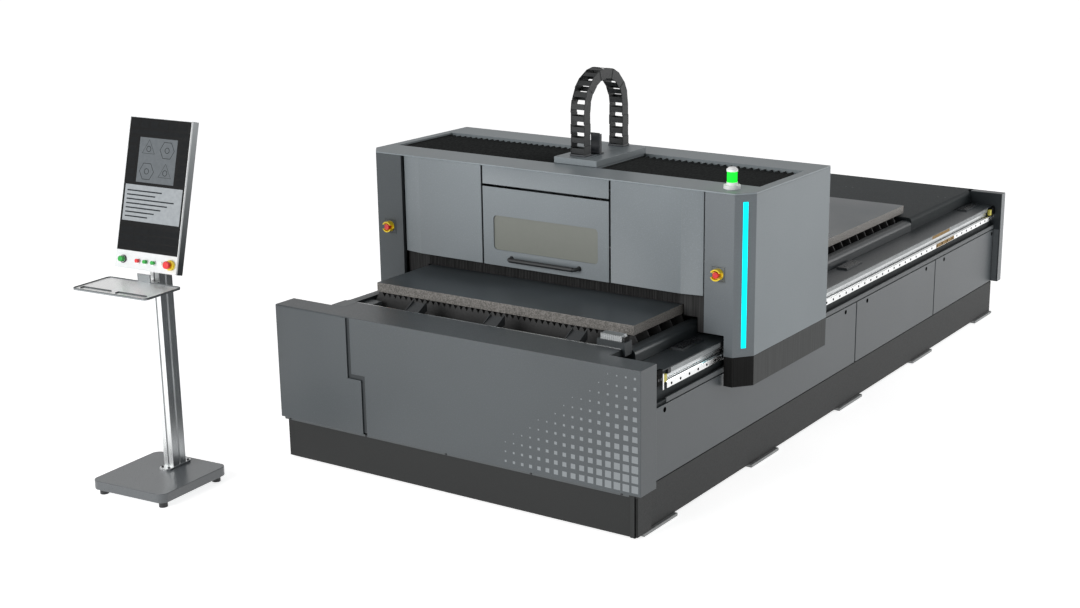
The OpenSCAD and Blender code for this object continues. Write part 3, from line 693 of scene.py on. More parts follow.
class PieceTree:
    """Geometry nodes with named inputs that make one plain mesh from copies of a piece."""

    def __init__(self, name: str, inputs: dict[str, str]) -> None:
        """Starts the tree with inputs for the piece and its finish.

        Args:
            name: name of the tree.
            inputs: kind of socket of each further input, by its name.
        """
        self.tree = bpy.data.node_groups.new(name, "GeometryNodeTree")
        face = self.tree.interface
        face.new_socket("Copies", in_out="OUTPUT", socket_type="NodeSocketGeometry")
        kinds = {"Piece": "Object", **inputs, "Finish": "Material"}
        self.ids = {
            key: face.new_socket(key, in_out="INPUT", socket_type="NodeSocket" + kind).identifier
            for key, kind in kinds.items()
        }
        self.entry = self.tree.nodes.new("NodeGroupInput").outputs

    def add(
        self, kind: str, feeds: dict[str | int, bpy.types.NodeSocket], **options: str
    ) -> bpy.types.Node:
        """Adds a node and links its inputs.

        Args:
            kind: type of the node.
            feeds: the socket that feeds each input, by the input's name or number.
            options: properties of the node.

        Returns:
            The node.
        """
        node = self.tree.nodes.new(kind)
        for key, value in options.items():
            setattr(node, key, value)
        for key, source in feeds.items():
            self.tree.links.new(source, node.inputs[key])
        return node

    def copies(self, feeds: dict[str | int, bpy.types.NodeSocket]) -> bpy.types.NodeSocket:
        """Puts a copy of the piece on every point."""
        info = self.add("GeometryNodeObjectInfo", {"Object": self.entry["Piece"]})
        feeds = {"Instance": info.outputs["Geometry"], **feeds}
        return self.add("GeometryNodeInstanceOnPoints", feeds).outputs["Instances"]

    def close(self, copies: bpy.types.NodeSocket) -> None:
        """Ends the tree with the copies made real and painted."""
        solid = self.add("GeometryNodeRealizeInstances", {"Geometry": copies})
        feeds = {"Geometry": solid.outputs["Geometry"], "Material": self.entry["Finish"]}
        paint = self.add("GeometryNodeSetMaterial", feeds)
        self.add("NodeGroupOutput", {0: paint.outputs["Geometry"]})

    def run(self, name: str, piece: bpy.types.Mesh, values: dict[str, object]) -> bpy.types.Mesh:
        """Runs the tree.

        Args:
            name: name of the result.
            piece: mesh of one copy, around the origin.
            values: value of each further input, by its name.

        Returns:
            One plain mesh.
        """
        model = place_object(name + "_one", piece)
        host = place_object(name + "_host", bpy.data.meshes.new(name + "_host"))
        nodes = host.modifiers.new("copies", "NODES")
        nodes.node_group = self.tree
        for key, value in {"Piece": model, **values}.items():
            nodes[self.ids[key]] = value
        made = solid_copy(host, name)
        bpy.data.objects.remove(host)
        bpy.data.objects.remove(model)
        return made


class RowTree(PieceTree):
    """Lays copies of one piece along a straight row."""

    def __init__(self) -> None:
        """Builds the tree once for every row."""
        super().__init__("row_of_pieces", {"Count": "Int", "Start": "Vector", "Step": "Vector"})
        entry = self.entry
        feeds = {"Count": entry["Count"], "Start Location": entry["Start"], "Offset": entry["Step"]}
        line = self.add("GeometryNodeMeshLine", feeds, mode="OFFSET")
        self.close(self.copies({"Points": line.outputs["Mesh"]}))


class FadeTree(PieceTree):
    """Spreads tiles over an upright face and lets them shrink to its upper left."""

    fade: tuple[float, float] = (-0.35, 0.8)
    smallest: float = 0.12

    def __init__(self) -> None:
        """Builds the tree."""
        sizes = {"Width": "Float", "Height": "Float", "Columns": "Int", "Rows": "Int", "Centre": "Vector"}
        super().__init__("fading_tiles", sizes)
        entry = self.entry
        sockets = {"Size X": "Width", "Size Y": "Height", "Vertices X": "Columns", "Vertices Y": "Rows"}
        grid = self.add("GeometryNodeMeshGrid", {key: entry[name] for key, name in sockets.items()})
        where = self.add("GeometryNodeInputPosition", {})
        split = self.add("ShaderNodeSeparateXYZ", {0: where.outputs[0]}).outputs
        across = self.add("ShaderNodeMath", {0: split["X"], 1: entry["Width"]}, operation="DIVIDE")
        upwards = self.add("ShaderNodeMath", {0: split["Y"], 1: entry["Height"]}, operation="DIVIDE")
        feeds = {0: across.outputs[0], 1: upwards.outputs[0]}
        slope = self.add("ShaderNodeMath", feeds, operation="SUBTRACT")
        grow = self.add("ShaderNodeMapRange", {"Value": slope.outputs[0]})
        grow.inputs["From Min"].default_value = self.fade[0]
        grow.inputs["From Max"].default_value = self.fade[1]
        size = grow.outputs["Result"]
        keep = self.add("FunctionNodeCompare", {"A": size})
        keep.inputs["B"].default_value = self.smallest
        feeds = {"Points": grid.outputs["Mesh"], "Selection": keep.outputs["Result"], "Scale": size}
        feeds = {"Geometry": self.copies(feeds), "Translation": entry["Centre"]}
        stand = self.add("GeometryNodeTransform", feeds)
        stand.inputs["Rotation"].default_value = (math.radians(90.0), 0.0, 0.0)
        self.close(stand.outputs["Geometry"])


@dataclass(frozen=True)
class Row:
    """Places of the copies in a straight row."""

    count: int
    start: Vector
    step: Vector


@dataclass
class Workshop:
    """Holds the finishes and puts pieces into the scene."""

    finishes: dict[Slot, bpy.types.Material]
    extra: dict[str, bpy.types.Material]
    own: dict[str, bpy.types.Material]
    rows: RowTree = field(default_factory=RowTree)
    tiles: FadeTree = field(default_factory=FadeTree)

    def paint(self, node: str, finish: str) -> None:
        """Puts an extra finish on a node as it is.

        Args:
            node: name of the node.
            finish: key of the extra finish.
        """
        data = frame["nodes"][node].data
        data.materials.clear()
        data.materials.append(self.extra[finish])

    def put(
        self, mesh: bpy.types.Mesh, name: str, slot: Slot, material: bpy.types.Material | None = None
    ) -> bpy.types.Object:
        """Makes a piece from a mesh, not yet on a body.

        Args:
            mesh: the finished mesh.
            name: name of the piece.
            slot: slot that it takes its finish from.
            material: a finish other than the slot's own.

        Returns:
            The object.
        """
        piece = place_object(name, mesh)
        mesh.materials.clear()
        mesh.materials.append(material or self.finishes[slot])
        LOG.info("piece %s", name)
        return piece

    def add(
        self,
        mesh: bpy.types.Mesh,
        name: str,
        body: Body,
        slot: Slot,
        material: bpy.types.Material | None = None,
    ) -> bpy.types.Object:
        """Makes a piece from a mesh that rides on a body."""
        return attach(self.put(mesh, name, slot, material), body.value)

    def cast(
        self, mould: Mould, name: str, body: Body, slot: Slot, finish: str = ""
    ) -> bpy.types.Object:
        """Makes a piece from a mould that rides on a body.

        Args:
            mould: the filled mould.
            name: name of the piece.
            body: body that carries it.
            slot: slot that it takes its finish from.
            finish: key of an extra finish, where it isn't the slot's own.

        Returns:
            The object.
        """
        return self.add(mould.mesh(name), name, body, slot, self.extra.get(finish))

    def lay(
        self, piece: bpy.types.Mesh, name: str, body: Body, slot: Slot, row: Row, finish: str = ""
    ) -> bpy.types.Object:
        """Lays a row of copies that rides on a body.

        Args:
            piece: mesh of one copy, around the origin.
            name: name of the row.
            body: body that carries it.
            slot: slot that it takes its finish from.
            row: places of the copies.
            finish: key of an extra finish, where it isn't the slot's own.

        Returns:
            The object.
        """
        material = self.extra.get(finish, self.finishes[slot])
        values = {"Count": row.count, "Start": row.start, "Step": row.step, "Finish": material}
        return self.add(self.rows.run(name, piece, values), name, body, slot, material)

    def stand_in(self, mould: Mould, name: str, node: str, width: float, segments: int) -> None:
        """Stands a mould with rounded edges in for a node.

        Args:
            mould: the filled mould.
            name: name of the piece.
            node: name of the node.
            width: width of the edge rounding in metres.
            segments: steps of the rounding.
        """
        mesh = self.round_edges(mould.mesh(name), name, width, segments)
        body = Body(frame["nodes"][node]["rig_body"])
        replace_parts(self.add(mesh, name, body, slot_of(node), self.own.get(node)), node)

    def soften(self, widths: dict[str, float], segments: int = 2, folded: str = "") -> None:
        """Stands copies with rounded edges in for nodes.

        Args:
            widths: width of the edge rounding in millimetres, by the node's name.
            segments: steps of the rounding.
            folded: a node of sheet metal whose slight folds stay crisp.
        """
        for node, width in widths.items():
            source = frame["nodes"][node]
            bm = bmesh.new()
            bm.from_mesh(source.data)
            bmesh.ops.remove_doubles(bm, verts=bm.verts[:], dist=2e-5)
            flat = math.radians(0.5)
            bmesh.ops.dissolve_limit(bm, angle_limit=flat, verts=bm.verts[:], edges=bm.edges[:])
            mesh = bpy.data.meshes.new(node + "_edges")
            bm.to_mesh(mesh)
            bm.free()
            name = node + "_shell"
            final = self.round_edges(mesh, name, width * MM, segments)
            if node == folded:
                final.shade_flat()
            piece = self.add(final, name, Body(source["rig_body"]), slot_of(node), self.own.get(node))
            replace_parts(piece, node)

    def round_edges(self, mesh: bpy.types.Mesh, name: str, width: float, segments: int) -> bpy.types.Mesh:
        """Returns a mesh with rounded edges and flat faces.

        Args:
            mesh: the sharp mesh.
            name: name of the result.
            width: width of the edge rounding in metres.
            segments: steps of the rounding.

        Returns:
            The rounded mesh.
        """
        mesh.shade_smooth()
        draft = place_object(name + "_draft", mesh)
        bevel = draft.modifiers.new("edges", "BEVEL")
        bevel.width = width
        bevel.segments = segments
        bevel.limit_method = "ANGLE"
        bevel.angle_limit = math.radians(35.0)
        bevel.use_clamp_overlap = True
        even = draft.modifiers.new("even", "WEIGHTED_NORMAL")
        even.weight = 100
        even.keep_sharp = False
        final = solid_copy(draft, name)
        bpy.data.objects.remove(draft)
        return final


@dataclass
class SlatTable:
    """The slat table: a row of saw-tooth slats."""

    shop: Workshop
    notch_pitch: float = 34 * MM
    notch_width: float = 30 * MM
    notch_depth: float = 25 * MM
    slat_pitch: float = 105 * MM
    slat_thick: float = 5 * MM
    slat_end: float = 29 * MM
    slat_shoulder: float = 55 * MM

    def dress(self) -> None:
        """Stands the row of saw-tooth slats in for the plain ones."""
        low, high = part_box("slats")
        outline = self.slat_profile(low, high)
        slat = Mould().prism(outline, Vector((0, self.slat_thick, 0))).mesh("slat", 10.0)
        count = round((high.y - low.y - self.slat_thick) / self.slat_pitch) + 1
        row = Row(count, Vector((0, low.y, 0)), Vector((0, self.slat_pitch, 0)))
        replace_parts(self.shop.lay(slat, "saw_slats", Body.BED, Slot.SLAT, row), "slats")

    def slat_profile(self, low: Vector, high: Vector) -> list[Vector]:
        """Returns the saw-tooth outline of one slat.

        Args:
            low: lowest corner of the slats.
            high: highest corner of the slats.

        Returns:
            Points around the outline, in the XZ plane.
        """
        left, right = low.x + self.slat_end, high.x - self.slat_end
        shoulder, valley = high.z - self.slat_shoulder, high.z - self.notch_depth
        count = int((right - left) / self.notch_pitch)
        first = (left + right) / 2 + (count - 1) / 2 * self.notch_pitch
        half = self.notch_width / 2
        corners = [(low.x, low.z), (high.x, low.z), (high.x, shoulder), (right, high.z)]
        for i in range(count):
            middle = first - i * self.notch_pitch
            corners += [(middle + half, high.z), (middle, valley), (middle - half, high.z)]
        corners += [(left, high.z), (low.x, shoulder)]
        return [Vector((x, 0, z)) for x, z in corners]


@dataclass
class RailLine:
    """The rails, racks and end stops along both sides of the bed."""

    shop: Workshop
    bolt_pitch: float = 80 * MM
    rail_cap: Pin = Pin(6.4 * MM, 0.8 * MM, 14)
    rail_wide: float = 24 * MM
    rail_reach: float = 29 * MM
    rail_rear_reach: float = 14 * MM
    # Start and length of a joint strip as shares of the rail, and how far it stands out
    rail_joint: tuple[float, float, float] = (0.763, 0.07, 0.3 * MM)
    tooth_pitch: float = 10 * MM
    tooth_deep: float = 2 * MM
    rack_thick: float = 6 * MM
    rack_joint: tuple[float, float, float] = (0.755, 0.067, 2.6 * MM)
    rack_splice: float = 485 * MM
    # Depth and length of a rack end
    rack_end: tuple[float, float] = (10 * MM, 26 * MM)
    strip_gap: float = 3 * MM
    joint_gap: float = 2 * MM
    lip_start: float = 37 * MM
    lip_end: float = 4 * MM
    # Reach of the folded lip inside and outside the side covers, then its foot and top above them
    lip_fold: tuple[float, float] = (6 * MM, 1.5 * MM)
    lip_band: tuple[float, float] = (7 * MM, 30 * MM)
    bumper_wide: float = 17 * MM
    stop_plate: float = 11 * MM
    stop_head: float = 21 * MM
    stop_edge: float = 1.5 * MM
    stop_bolt: Pin = Pin(7 * MM, 1 * MM, 6)
    stop_bolt_places: tuple[float, float] = (12 * MM, 34 * MM)
    stop_bolt_level: float = 28 * MM
    stop_plate_span: tuple[float, float] = (-26 * MM, 48 * MM)
    stop_plate_proud: float = 0.6 * MM

    def bolt_rail(self, side: Side) -> None:
        """Adds the bolt caps of the rail on one side."""
        low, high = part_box("guide_rails")
        cap = self.rail_cap.mesh("rail_cap", side.outwards)
        count = int((high.y - low.y - self.bolt_pitch / 2) / self.bolt_pitch) + 1
        first = low.y + self.bolt_pitch / 2 - self.rail_reach
        start = Vector((side.face("guide_rails"), first, (low.z + high.z) / 2))
        row = Row(count, start, Vector((0, self.bolt_pitch, 0)))
        name = f"rail_caps_{side.word}"
        self.shop.lay(cap, name, Body.BED, Slot.BLACK_PAINT, row, "socket")

    def cut_rack(self, side: Side) -> None:
        """Adds the teeth of the rack on one side."""
        low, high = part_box("gear_racks")
        half = self.tooth_pitch / 4
        tooth = Mould().block((0, -half, 0), (side.value * self.tooth_deep, half, high.z - low.z))
        count = int((high.y - low.y) / self.tooth_pitch)
        start = Vector((side.face("gear_racks"), low.y + half, low.z))
        row = Row(count, start, Vector((0, self.tooth_pitch, 0)))
        name = f"rack_teeth_{side.word}"
        self.shop.lay(tooth.mesh("rack_tooth"), name, Body.BED, Slot.MACHINED, row, "rack")

    def trim_ledge(self, side: Side) -> None:
        """Adds the ground strip between rail and rack, the rack ends and the folded lip of one side."""
        rail_low, rail_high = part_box("guide_rails")
        rack_low, rack_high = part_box("gear_racks")
        panel = f"side_panels_{side.word}"
        panel_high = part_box(panel)[1]
        out = side.value
        wall = side.face("gear_racks") - out * self.rack_thick
        strip = Mould().block(
            (wall, rail_low.y, rail_high.z + self.strip_gap),
            (wall + out * FILM, rack_high.y, rack_low.z - CLEAR),
        )
        self.shop.cast(strip, f"ground_strip_{side.word}", Body.BED, Slot.MACHINED, "ground")
        ends = Mould()
        deep, long = self.rack_end
        foot, top = rack_low.z + CLEAR, rack_high.z - CLEAR / 2
        for y in (rack_low.y - CLEAR, rack_low.y + self.rack_splice):
            ends.block((wall, y, foot), (wall + out * deep, y + long, top))
        self.shop.cast(ends, f"rack_ends_{side.word}", Body.BED, Slot.BLACK_PAINT)
        face = side.face(panel)
        foot, top = (panel_high.z + z for z in self.lip_band)
        inside, proud = self.lip_fold
        lip = Mould().block(
            (face - out * inside, rail_low.y - self.lip_start, foot),
            (face + out * proud, panel_high.y - self.lip_end, top),
        )
        self.shop.cast(lip, f"ledge_lip_{side.word}", Body.BED, Slot.BED_PAINT, "lip")

    def splice_rail(self, side: Side) -> None:
        """Adds the brass-coloured strips at the joints of rail and rack on one side."""
        rail_low, rail_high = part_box("guide_rails")
        length = rail_high.y - rail_low.y
        strips = Mould()
        for node, joint in (("guide_rails", self.rail_joint), ("gear_racks", self.rack_joint)):
            first, span, proud = joint
            low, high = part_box(node)
            face, start = side.face(node), rail_low.y + length * first
            strips.block(
                (face, start, low.z + self.joint_gap),
                (face + side.value * proud, start + length * span, high.z - self.joint_gap),
            )
        self.shop.cast(strips, f"joint_strips_{side.word}", Body.BED, Slot.COPPER, "brass")

    def bolt_stop(self, side: Side) -> None:
        """Adds the bolt heads and the bright plate of the front end stop on one side."""
        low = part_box("rail_stops")[0]
        face, out = side.face("rail_stops"), side.value
        heads = Mould()
        for shift in self.stop_bolt_places:
            self.stop_bolt.stand(heads, (face, low.y + shift, low.z + self.stop_bolt_level), side.outwards)
        self.shop.cast(heads, f"stop_heads_{side.word}", Body.BED, Slot.BLACK_PAINT)
        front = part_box("stop_bumpers")[0].y - self.rail_reach
        foot, top = (low.z + z for z in self.stop_plate_span)
        plate = Mould().block(
            (face - out * self.bumper_wide, front - self.stop_plate, foot),
            (face + out * self.stop_plate_proud, front - CLEAR, top),
        )
        self.shop.cast(plate, f"stop_plate_{side.word}", Body.BED, Slot.MACHINED)

    def seat_stops(self) -> None:
        """Stands short end stops with bumpers in for the plain ones and brings the rails up to them."""
        low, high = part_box("rail_stops")
        soft_low, soft_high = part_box("stop_bumpers")
        rail_low, rail_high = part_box("guide_rails")
        front, rear = soft_low.y - self.rail_reach, soft_high.y + self.rail_reach
        plate, beam = front - self.stop_plate, high.z - self.stop_head
        rail_front, rail_rear = rail_low.y - self.rail_reach, rail_high.y + self.rail_rear_reach
        stops, soft, rails = Mould(), Mould(), Mould()
        for side in Side:
            face, out = side.face("rail_stops"), side.value
            inner, upper = face - out * self.rail_wide, face - out * self.bumper_wide
            stops.block((inner, low.y, low.z), (face, plate, beam))
            stops.block((upper, low.y, beam), (face, plate, high.z))
            stops.block((inner, rear, low.z), (face, high.y, beam))
            for start, end in ((front, soft_low.y), (soft_high.y, rear)):
                soft.block((upper, start, soft_low.z), (face - out * CLEAR, end, soft_high.z))
            for start, end in ((rail_front, rail_low.y), (rail_high.y, rail_rear)):
                rails.block((inner, start, rail_low.z), (face - out * 2 * CLEAR, end, rail_high.z))
        self.shop.stand_in(stops, "stop_blocks", "rail_stops", self.stop_edge, 2)
        self.shop.stand_in(soft, "stop_pads", "stop_bumpers", self.stop_edge, 2)
        self.shop.cast(rails, "rail_ends", Body.BED, Slot.MACHINED)

    def dress(self) -> None:
        """Builds the rails with all that is bolted to them."""
        self.shop.paint("gear_racks", "rack")
        for side in Side:
            self.bolt_rail(side)
            self.cut_rack(side)
            self.splice_rail(side)
            self.bolt_stop(side)
            self.trim_ledge(side)
        self.seat_stops()


@dataclass
class Covers:
    """The plinth and the covers round the bed."""

    shop: Workshop
    rear_flange: float = 63 * MM
    rear_edge: float = 2.6 * MM
    closer_inset: float = 8 * MM
    cover_joints: tuple[float, float] = (0.509, 0.771)
    lock_inset: float = 140 * MM
    last_lock: float = 30 * MM
    lock_drop: float = 24 * MM
    lock: Pin = Pin(12 * MM, 0.8 * MM, 20)
    # How far the key of a lock stands out, and half its width and height
    lock_key: tuple[float, float, float] = (1.6 * MM, 1.5 * MM, 7 * MM)
    flange_screw: Pin = Pin(6 * MM, 4 * MM, 12, 0.8)
    screw_count: int = 5
    screw_inset: float = 53.5 * MM
    screw_pitch: float = 483 * MM
    screw_drop: float = 5 * MM
    flange_tall: float = 11 * MM
    flange_short: float = 37 * MM
    seam_inset: float = 9 * MM
    seam_wide: float = 5 * MM
    post_wide: float = 22 * MM
    tile_side: float = 34 * MM
    tile_thick: float = 0.25 * MM
    # Width and height of the tile field, its columns and rows, and its gap to the right and shift down
    field_size: tuple[float, float] = (690 * MM, 506 * MM)
    field_cells: tuple[int, int] = (16, 12)
    field_shift: tuple[float, float] = (30 * MM, 4 * MM)
    joint_step: float = 283 * MM
    joint_wide: float = 40 * MM
    joint_lower: float = 8 * MM
    joint_upper: float = 90 * MM
    # Front and back of the strip behind the joint, from the cover's front
    joint_back: tuple[float, float] = (9 * MM, 11 * MM)
    joint_margin: float = 6 * MM
    # Depth of the painted highlight strip on the shelf's edge
    shelf_bead: float = 3 * MM
    shelf_half: float = 800 * MM
    # Width and depth of the plate on the shelf's left end
    shelf_plate: tuple[float, float] = (78 * MM, 100 * MM)
    rim_wide: float = 57 * MM
    # Width and length of the lower rim end, and how far it lies below the rim
    rim_foot: tuple[float, float, float] = (125 * MM, 165 * MM, 14 * MM)

    def soften_covers(self) -> None:
        """Rounds the edges of the covers, the decks and what lies on them."""
        widths = {
            "plinth": 3.0,
            "foot_plates": 1.5,
            "bed_frame": 2.0,
            "front_cover_main": 2.5,
            "front_cover_left": 2.5,
            "rear_cover": 2.5,
            "rear_deck": 3.0,
            "side_panels_right": 2.0,
            "side_panels_left": 2.0,
            "side_decks": 1.2,
            "guide_rails": 0.8,
            "slat_rims": 1.0,
            "sheet_guides": 0.8,
            "work_sheet": 1.5,
        }
        self.shop.soften(widths)

    def line_rear(self) -> None:
        """Lines the inner face of the rear cover with a dark sheet of painted shade, and closes it to the
        side covers below with a paler strip of painted light.
        """
        low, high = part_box("rear_cover")
        edge, face = self.rear_edge, high.y - self.rear_flange
        # Painted shade: a dark sheet on the inner face.
        liner = Mould().block(
            (low.x + edge, face - FILM, low.z + edge), (high.x - edge, face + SINK, high.z - edge)
        )
        self.shop.cast(liner, "rear_liner", Body.BED, Slot.DECK_PAINT, "liner")
        # Painted light: a paler strip on the lower end of that face, closing it to the side covers.
        closer = Mould()
        for side in Side:
            panel = f"side_panels_{side.word}"
            panel_low, panel_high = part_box(panel)
            end = side.face("rear_cover") - side.value * self.closer_inset
            closer.block(
                (side.face(panel), face - 2 * FILM, panel_low.z), (end, face - SKIN, panel_high.z)
            )
        self.shop.cast(closer, "rear_closer", Body.BED, Slot.BED_PAINT, "closer")

    def add_locks(self, side: Side) -> None:
        """Adds the quarter-turn locks along the tops of the side covers on one side."""
        panel = f"side_panels_{side.word}"
        low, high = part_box(panel)
        joints = [low.y + (high.y - low.y) * share for share in self.cover_joints]
        places = [low.y + self.lock_inset, high.y - self.last_lock]
        places += [joint + s * self.lock_inset for joint in joints for s in (-1, 1)]
        face, level = side.face(panel), high.z - self.lock_drop
        proud, wide, tall = self.lock_key
        locks = Mould()
        for y in places:
            self.lock.stand(locks, (face, y, level), side.outwards)
            locks.block((face, y - wide, level - tall), (face + side.value * proud, y + wide, level + tall))
        self.shop.cast(locks, f"cover_locks_{side.word}", Body.BED, Slot.BLACK_PAINT, "socket")

    def dress_plinth(self) -> None:
        """Adds the flange strip with its screws and the corner seam to the plinth's front."""
        low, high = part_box("plinth")
        cover_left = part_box("front_cover_main")[0].x
        head = self.flange_screw.mesh("flange_screw", (0, -1, 0))
        start = Vector((cover_left + self.screw_inset, low.y, high.z - self.screw_drop))
        row = Row(self.screw_count, start, Vector((self.screw_pitch, 0, 0)))
        self.shop.lay(head, "flange_screws", Body.BED, Slot.BLACK_PAINT, row)
        front, foot = low.y - SKIN, low.z + CLEAR
        flange = Mould().block(
            (low.x, front, high.z - self.flange_tall),
            (high.x - self.flange_short, low.y, high.z - CLEAR / 2),
        )
        self.shop.cast(flange, "flange_face", Body.BED, Slot.BED_PAINT, "flange")
        corner = high.x - self.seam_inset
        seam = Mould().block((corner, front, foot), (corner + self.seam_wide, low.y + CLEAR, high.z))
        self.shop.cast(seam, "plinth_seam", Body.BED, Slot.DARK_PAINT, "socket")
        post = Mould().block((corner - self.post_wide, front, foot), (corner, low.y, high.z))
        self.shop.cast(post, "plinth_post", Body.BED, Slot.DARK_PAINT, "post")

    def back_joint(self) -> None:
        """Adds the dark strip behind the stepped joint of the front covers."""
        low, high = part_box("front_cover_main")
        edge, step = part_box("front_cover_left")[1].x, low.z + self.joint_step
        front, back = (low.y + y for y in self.joint_back)
        half, margin = self.joint_wide / 2, self.joint_margin
        lower, upper = edge - self.joint_lower, edge - self.joint_upper
        right = lower + self.joint_wide
        strip = Mould()
        strip.block((lower, front, low.z + margin), (right, back, step - half))
        strip.block((upper, front, step - half), (right, back, step + half))
        strip.block((upper, front, step + half), (upper + self.joint_wide, back, high.z - margin))
        self.shop.cast(strip, "joint_backing", Body.BED, Slot.DARK_PAINT, "joint")

    def edge_shelf(self) -> None:
        """Adds a bright strip of painted highlight on the shelf's edge, and the plate and rim end at its left
        in a paler coat of painted light.
        """
        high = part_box("front_cover_main")[1]
        rim_low, rim_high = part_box("slat_rims")
        left, right = centre_x() - self.shelf_half, centre_x() + self.shelf_half
        # Painted highlight: a bright strip where the shelf's edge catches light.
        edge_highlight = Mould().block(
            (left, high.y - self.shelf_bead, high.z - CLEAR),
            (right, high.y + FILM, high.z + SKIN),
        )
        self.shop.cast(edge_highlight, "shelf_edge", Body.BED, Slot.MACHINED)
        back, corner = high.y + CLEAR, rim_low.x + self.rim_wide
        wide, long, drop = self.rim_foot
        plate_wide, plate_deep = self.shelf_plate
        # Painted light: rim end and plate in a paler coat than the rims.
        end = Mould()
        end.block((rim_low.x, back, rim_low.z), (corner, rim_low.y, rim_high.z))
        end.block((corner, back, rim_low.z), (rim_low.x + wide, high.y + long, rim_high.z - drop))
        end.block((left, high.y - plate_deep, high.z), (left + plate_wide, high.y, high.z + FILM))
        self.shop.cast(end, "rim_end", Body.BED, Slot.DECK_PAINT, "rim_end")

    def print_tiles(self) -> None:
        """Spreads the fading tile field over the right part of the front cover."""
        low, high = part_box("front_cover_main")
        half = self.tile_side / 2
        tile = Mould().block((-half, -half, 0), (half, half, self.tile_thick)).mesh("cover_tile", 5.0)
        wide, tall = self.field_size
        margin, drop = self.field_shift
        values = {
            "Width": wide,
            "Height": tall,
            "Columns": self.field_cells[0],
            "Rows": self.field_cells[1],
            "Centre": Vector((high.x - wide / 2 - margin, low.y, (low.z + high.z) / 2 - drop)),
            "Finish": self.shop.extra["tile"],
        }
        mesh = self.shop.tiles.run("cover_tiles", tile, values)
        self.shop.add(mesh, "cover_tiles", Body.BED, Slot.BED_PAINT, self.shop.extra["tile"])

    def dress(self) -> None:
        """Builds the covers."""
        self.soften_covers()
        self.line_rear()
        for side in Side:
            self.add_locks(side)
        self.dress_plinth()
        self.back_joint()
        self.edge_shelf()
        self.print_tiles()


@dataclass
class Decks:
    """The decks along the slat table, with their pads and lifting holes."""

    shop: Workshop
    pad_inset: float = 105 * MM
    first_pad: float = 549 * MM
    pad_margin: float = 718 * MM
    # Half the width and length of a pad
    pad_half: tuple[float, float] = (32 * MM, 99 * MM)
    pad_tall: float = 9.8 * MM
    pad_edge: float = 2 * MM
    pad_screw: Pin = Pin(7 * MM, 1.2 * MM)
    pad_screw_half: float = 60 * MM
    deck_hole: Pin = Pin(6 * MM, 0.3 * MM, 14)
    hole_places: tuple[float, ...] = (115 * MM, 752 * MM, -115 * MM, -752 * MM)
    hole_inset: float = 355 * MM
    hole_half: float = 24 * MM

    def dress(self) -> None:
        """Adds the pad tops, paler pad fronts of painted light, the pad screws, and black discs of painted
        shade at the lifting holes of the rear deck.
        """
        low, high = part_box("side_decks")
        deck_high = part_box("rear_deck")[1]
        wide, long = self.pad_half
        edge = self.pad_edge
        heads, tops, ends, holes = Mould(), Mould(), Mould(), Mould()
        for side in Side:
            x = side.face("side_decks") - side.value * self.pad_inset
            for i in range(3):
                y = low.y + self.first_pad + i * (high.y - low.y - self.pad_margin) / 2
                tops.block(
                    (x - wide + edge, y - long + edge, high.z),
                    (x + wide - edge, y + long - edge, high.z + FILM),
                )
                ends.block(
                    (x - wide, y - long - FILM, high.z - self.pad_tall), (x + wide, y - long, high.z)
                )
                for shift in (-self.pad_screw_half, self.pad_screw_half):
                    self.pad_screw.stand(heads, (x, y + shift, high.z), (0, 0, 1))
        for place in self.hole_places:
            for shift in (-self.hole_half, self.hole_half):
                spot = (centre_x() + place + shift, deck_high.y - self.hole_inset, deck_high.z)
                self.deck_hole.stand(holes, spot, (0, 0, 1))
        self.shop.cast(heads, "pad_screws", Body.BED, Slot.BLACK_PAINT)
        self.shop.cast(tops, "pad_tops", Body.BED, Slot.BLACK_PAINT, "pad")
        # Painted light: paler films on the pads' fronts.
        self.shop.cast(ends, "pad_ends", Body.BED, Slot.BED_PAINT, "lip")
        # Painted shade: black discs where the lifting holes are.
        self.shop.cast(holes, "deck_holes", Body.BED, Slot.BLACK_PAINT)


@dataclass
class Station:
    """The calibration station beside the sheet."""

    shop: Workshop
    case_tall: float = 31 * MM
    comb_inset: float = 17 * MM
    comb_long: float = 110 * MM
    # Gaps of the comb to the case's front and back, and to the tops of its ribs
    comb_margin: tuple[float, float, float] = (8 * MM, 4 * MM, 5 * MM)
    rib_pitch: float = 10 * MM
    rib_wide: float = 6 * MM
    rib_proud: float = 2 * MM
    bristle: Pin = Pin(1.6 * MM, 22 * MM, 6)
    bristle_count: int = 9
    bristle_pitch: float = 5 * MM
    bristle_inset: float = 8 * MM
    bristle_drop: float = 27 * MM

    def dress(self) -> None:
        """Stands a painted box with a ribbed alloy block and a brush in for the plain station."""
        low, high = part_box("calibration_station")
        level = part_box("front_cover_main")[1].z + self.case_tall
        box = Mould().block(low, (high.x, high.y, level)).mesh("station_case")
        paint = self.shop.finishes[Slot.DECK_PAINT]
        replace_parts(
            self.shop.add(box, "station_case", Body.BED, Slot.MACHINED, paint), "calibration_station"
        )
        ahead, behind, above = self.comb_margin
        left, front, back = low.x + self.comb_inset, low.y + ahead, high.y - behind
        comb = Mould().block((left, front, level), (left + self.comb_long, back, high.z - above))
        for i in range(int(self.comb_long / self.rib_pitch + 0.5)):
            x = left + i * self.rib_pitch
            comb.block((x, front - self.rib_proud, level), (x + self.rib_wide, back, high.z))
        block = self.shop.cast(comb, "station_comb", Body.BED, Slot.MACHINED, "comb")
        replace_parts(block, "calibration_station")
        bristle = self.bristle.mesh("bristle", (0, 0, 1))
        start = Vector((high.x - self.bristle_inset, front, high.z - self.bristle_drop))
        row = Row(self.bristle_count, start, Vector((0, self.bristle_pitch, 0)))
        self.shop.lay(bristle, "station_bristles", Body.BED, Slot.BRUSH, row)


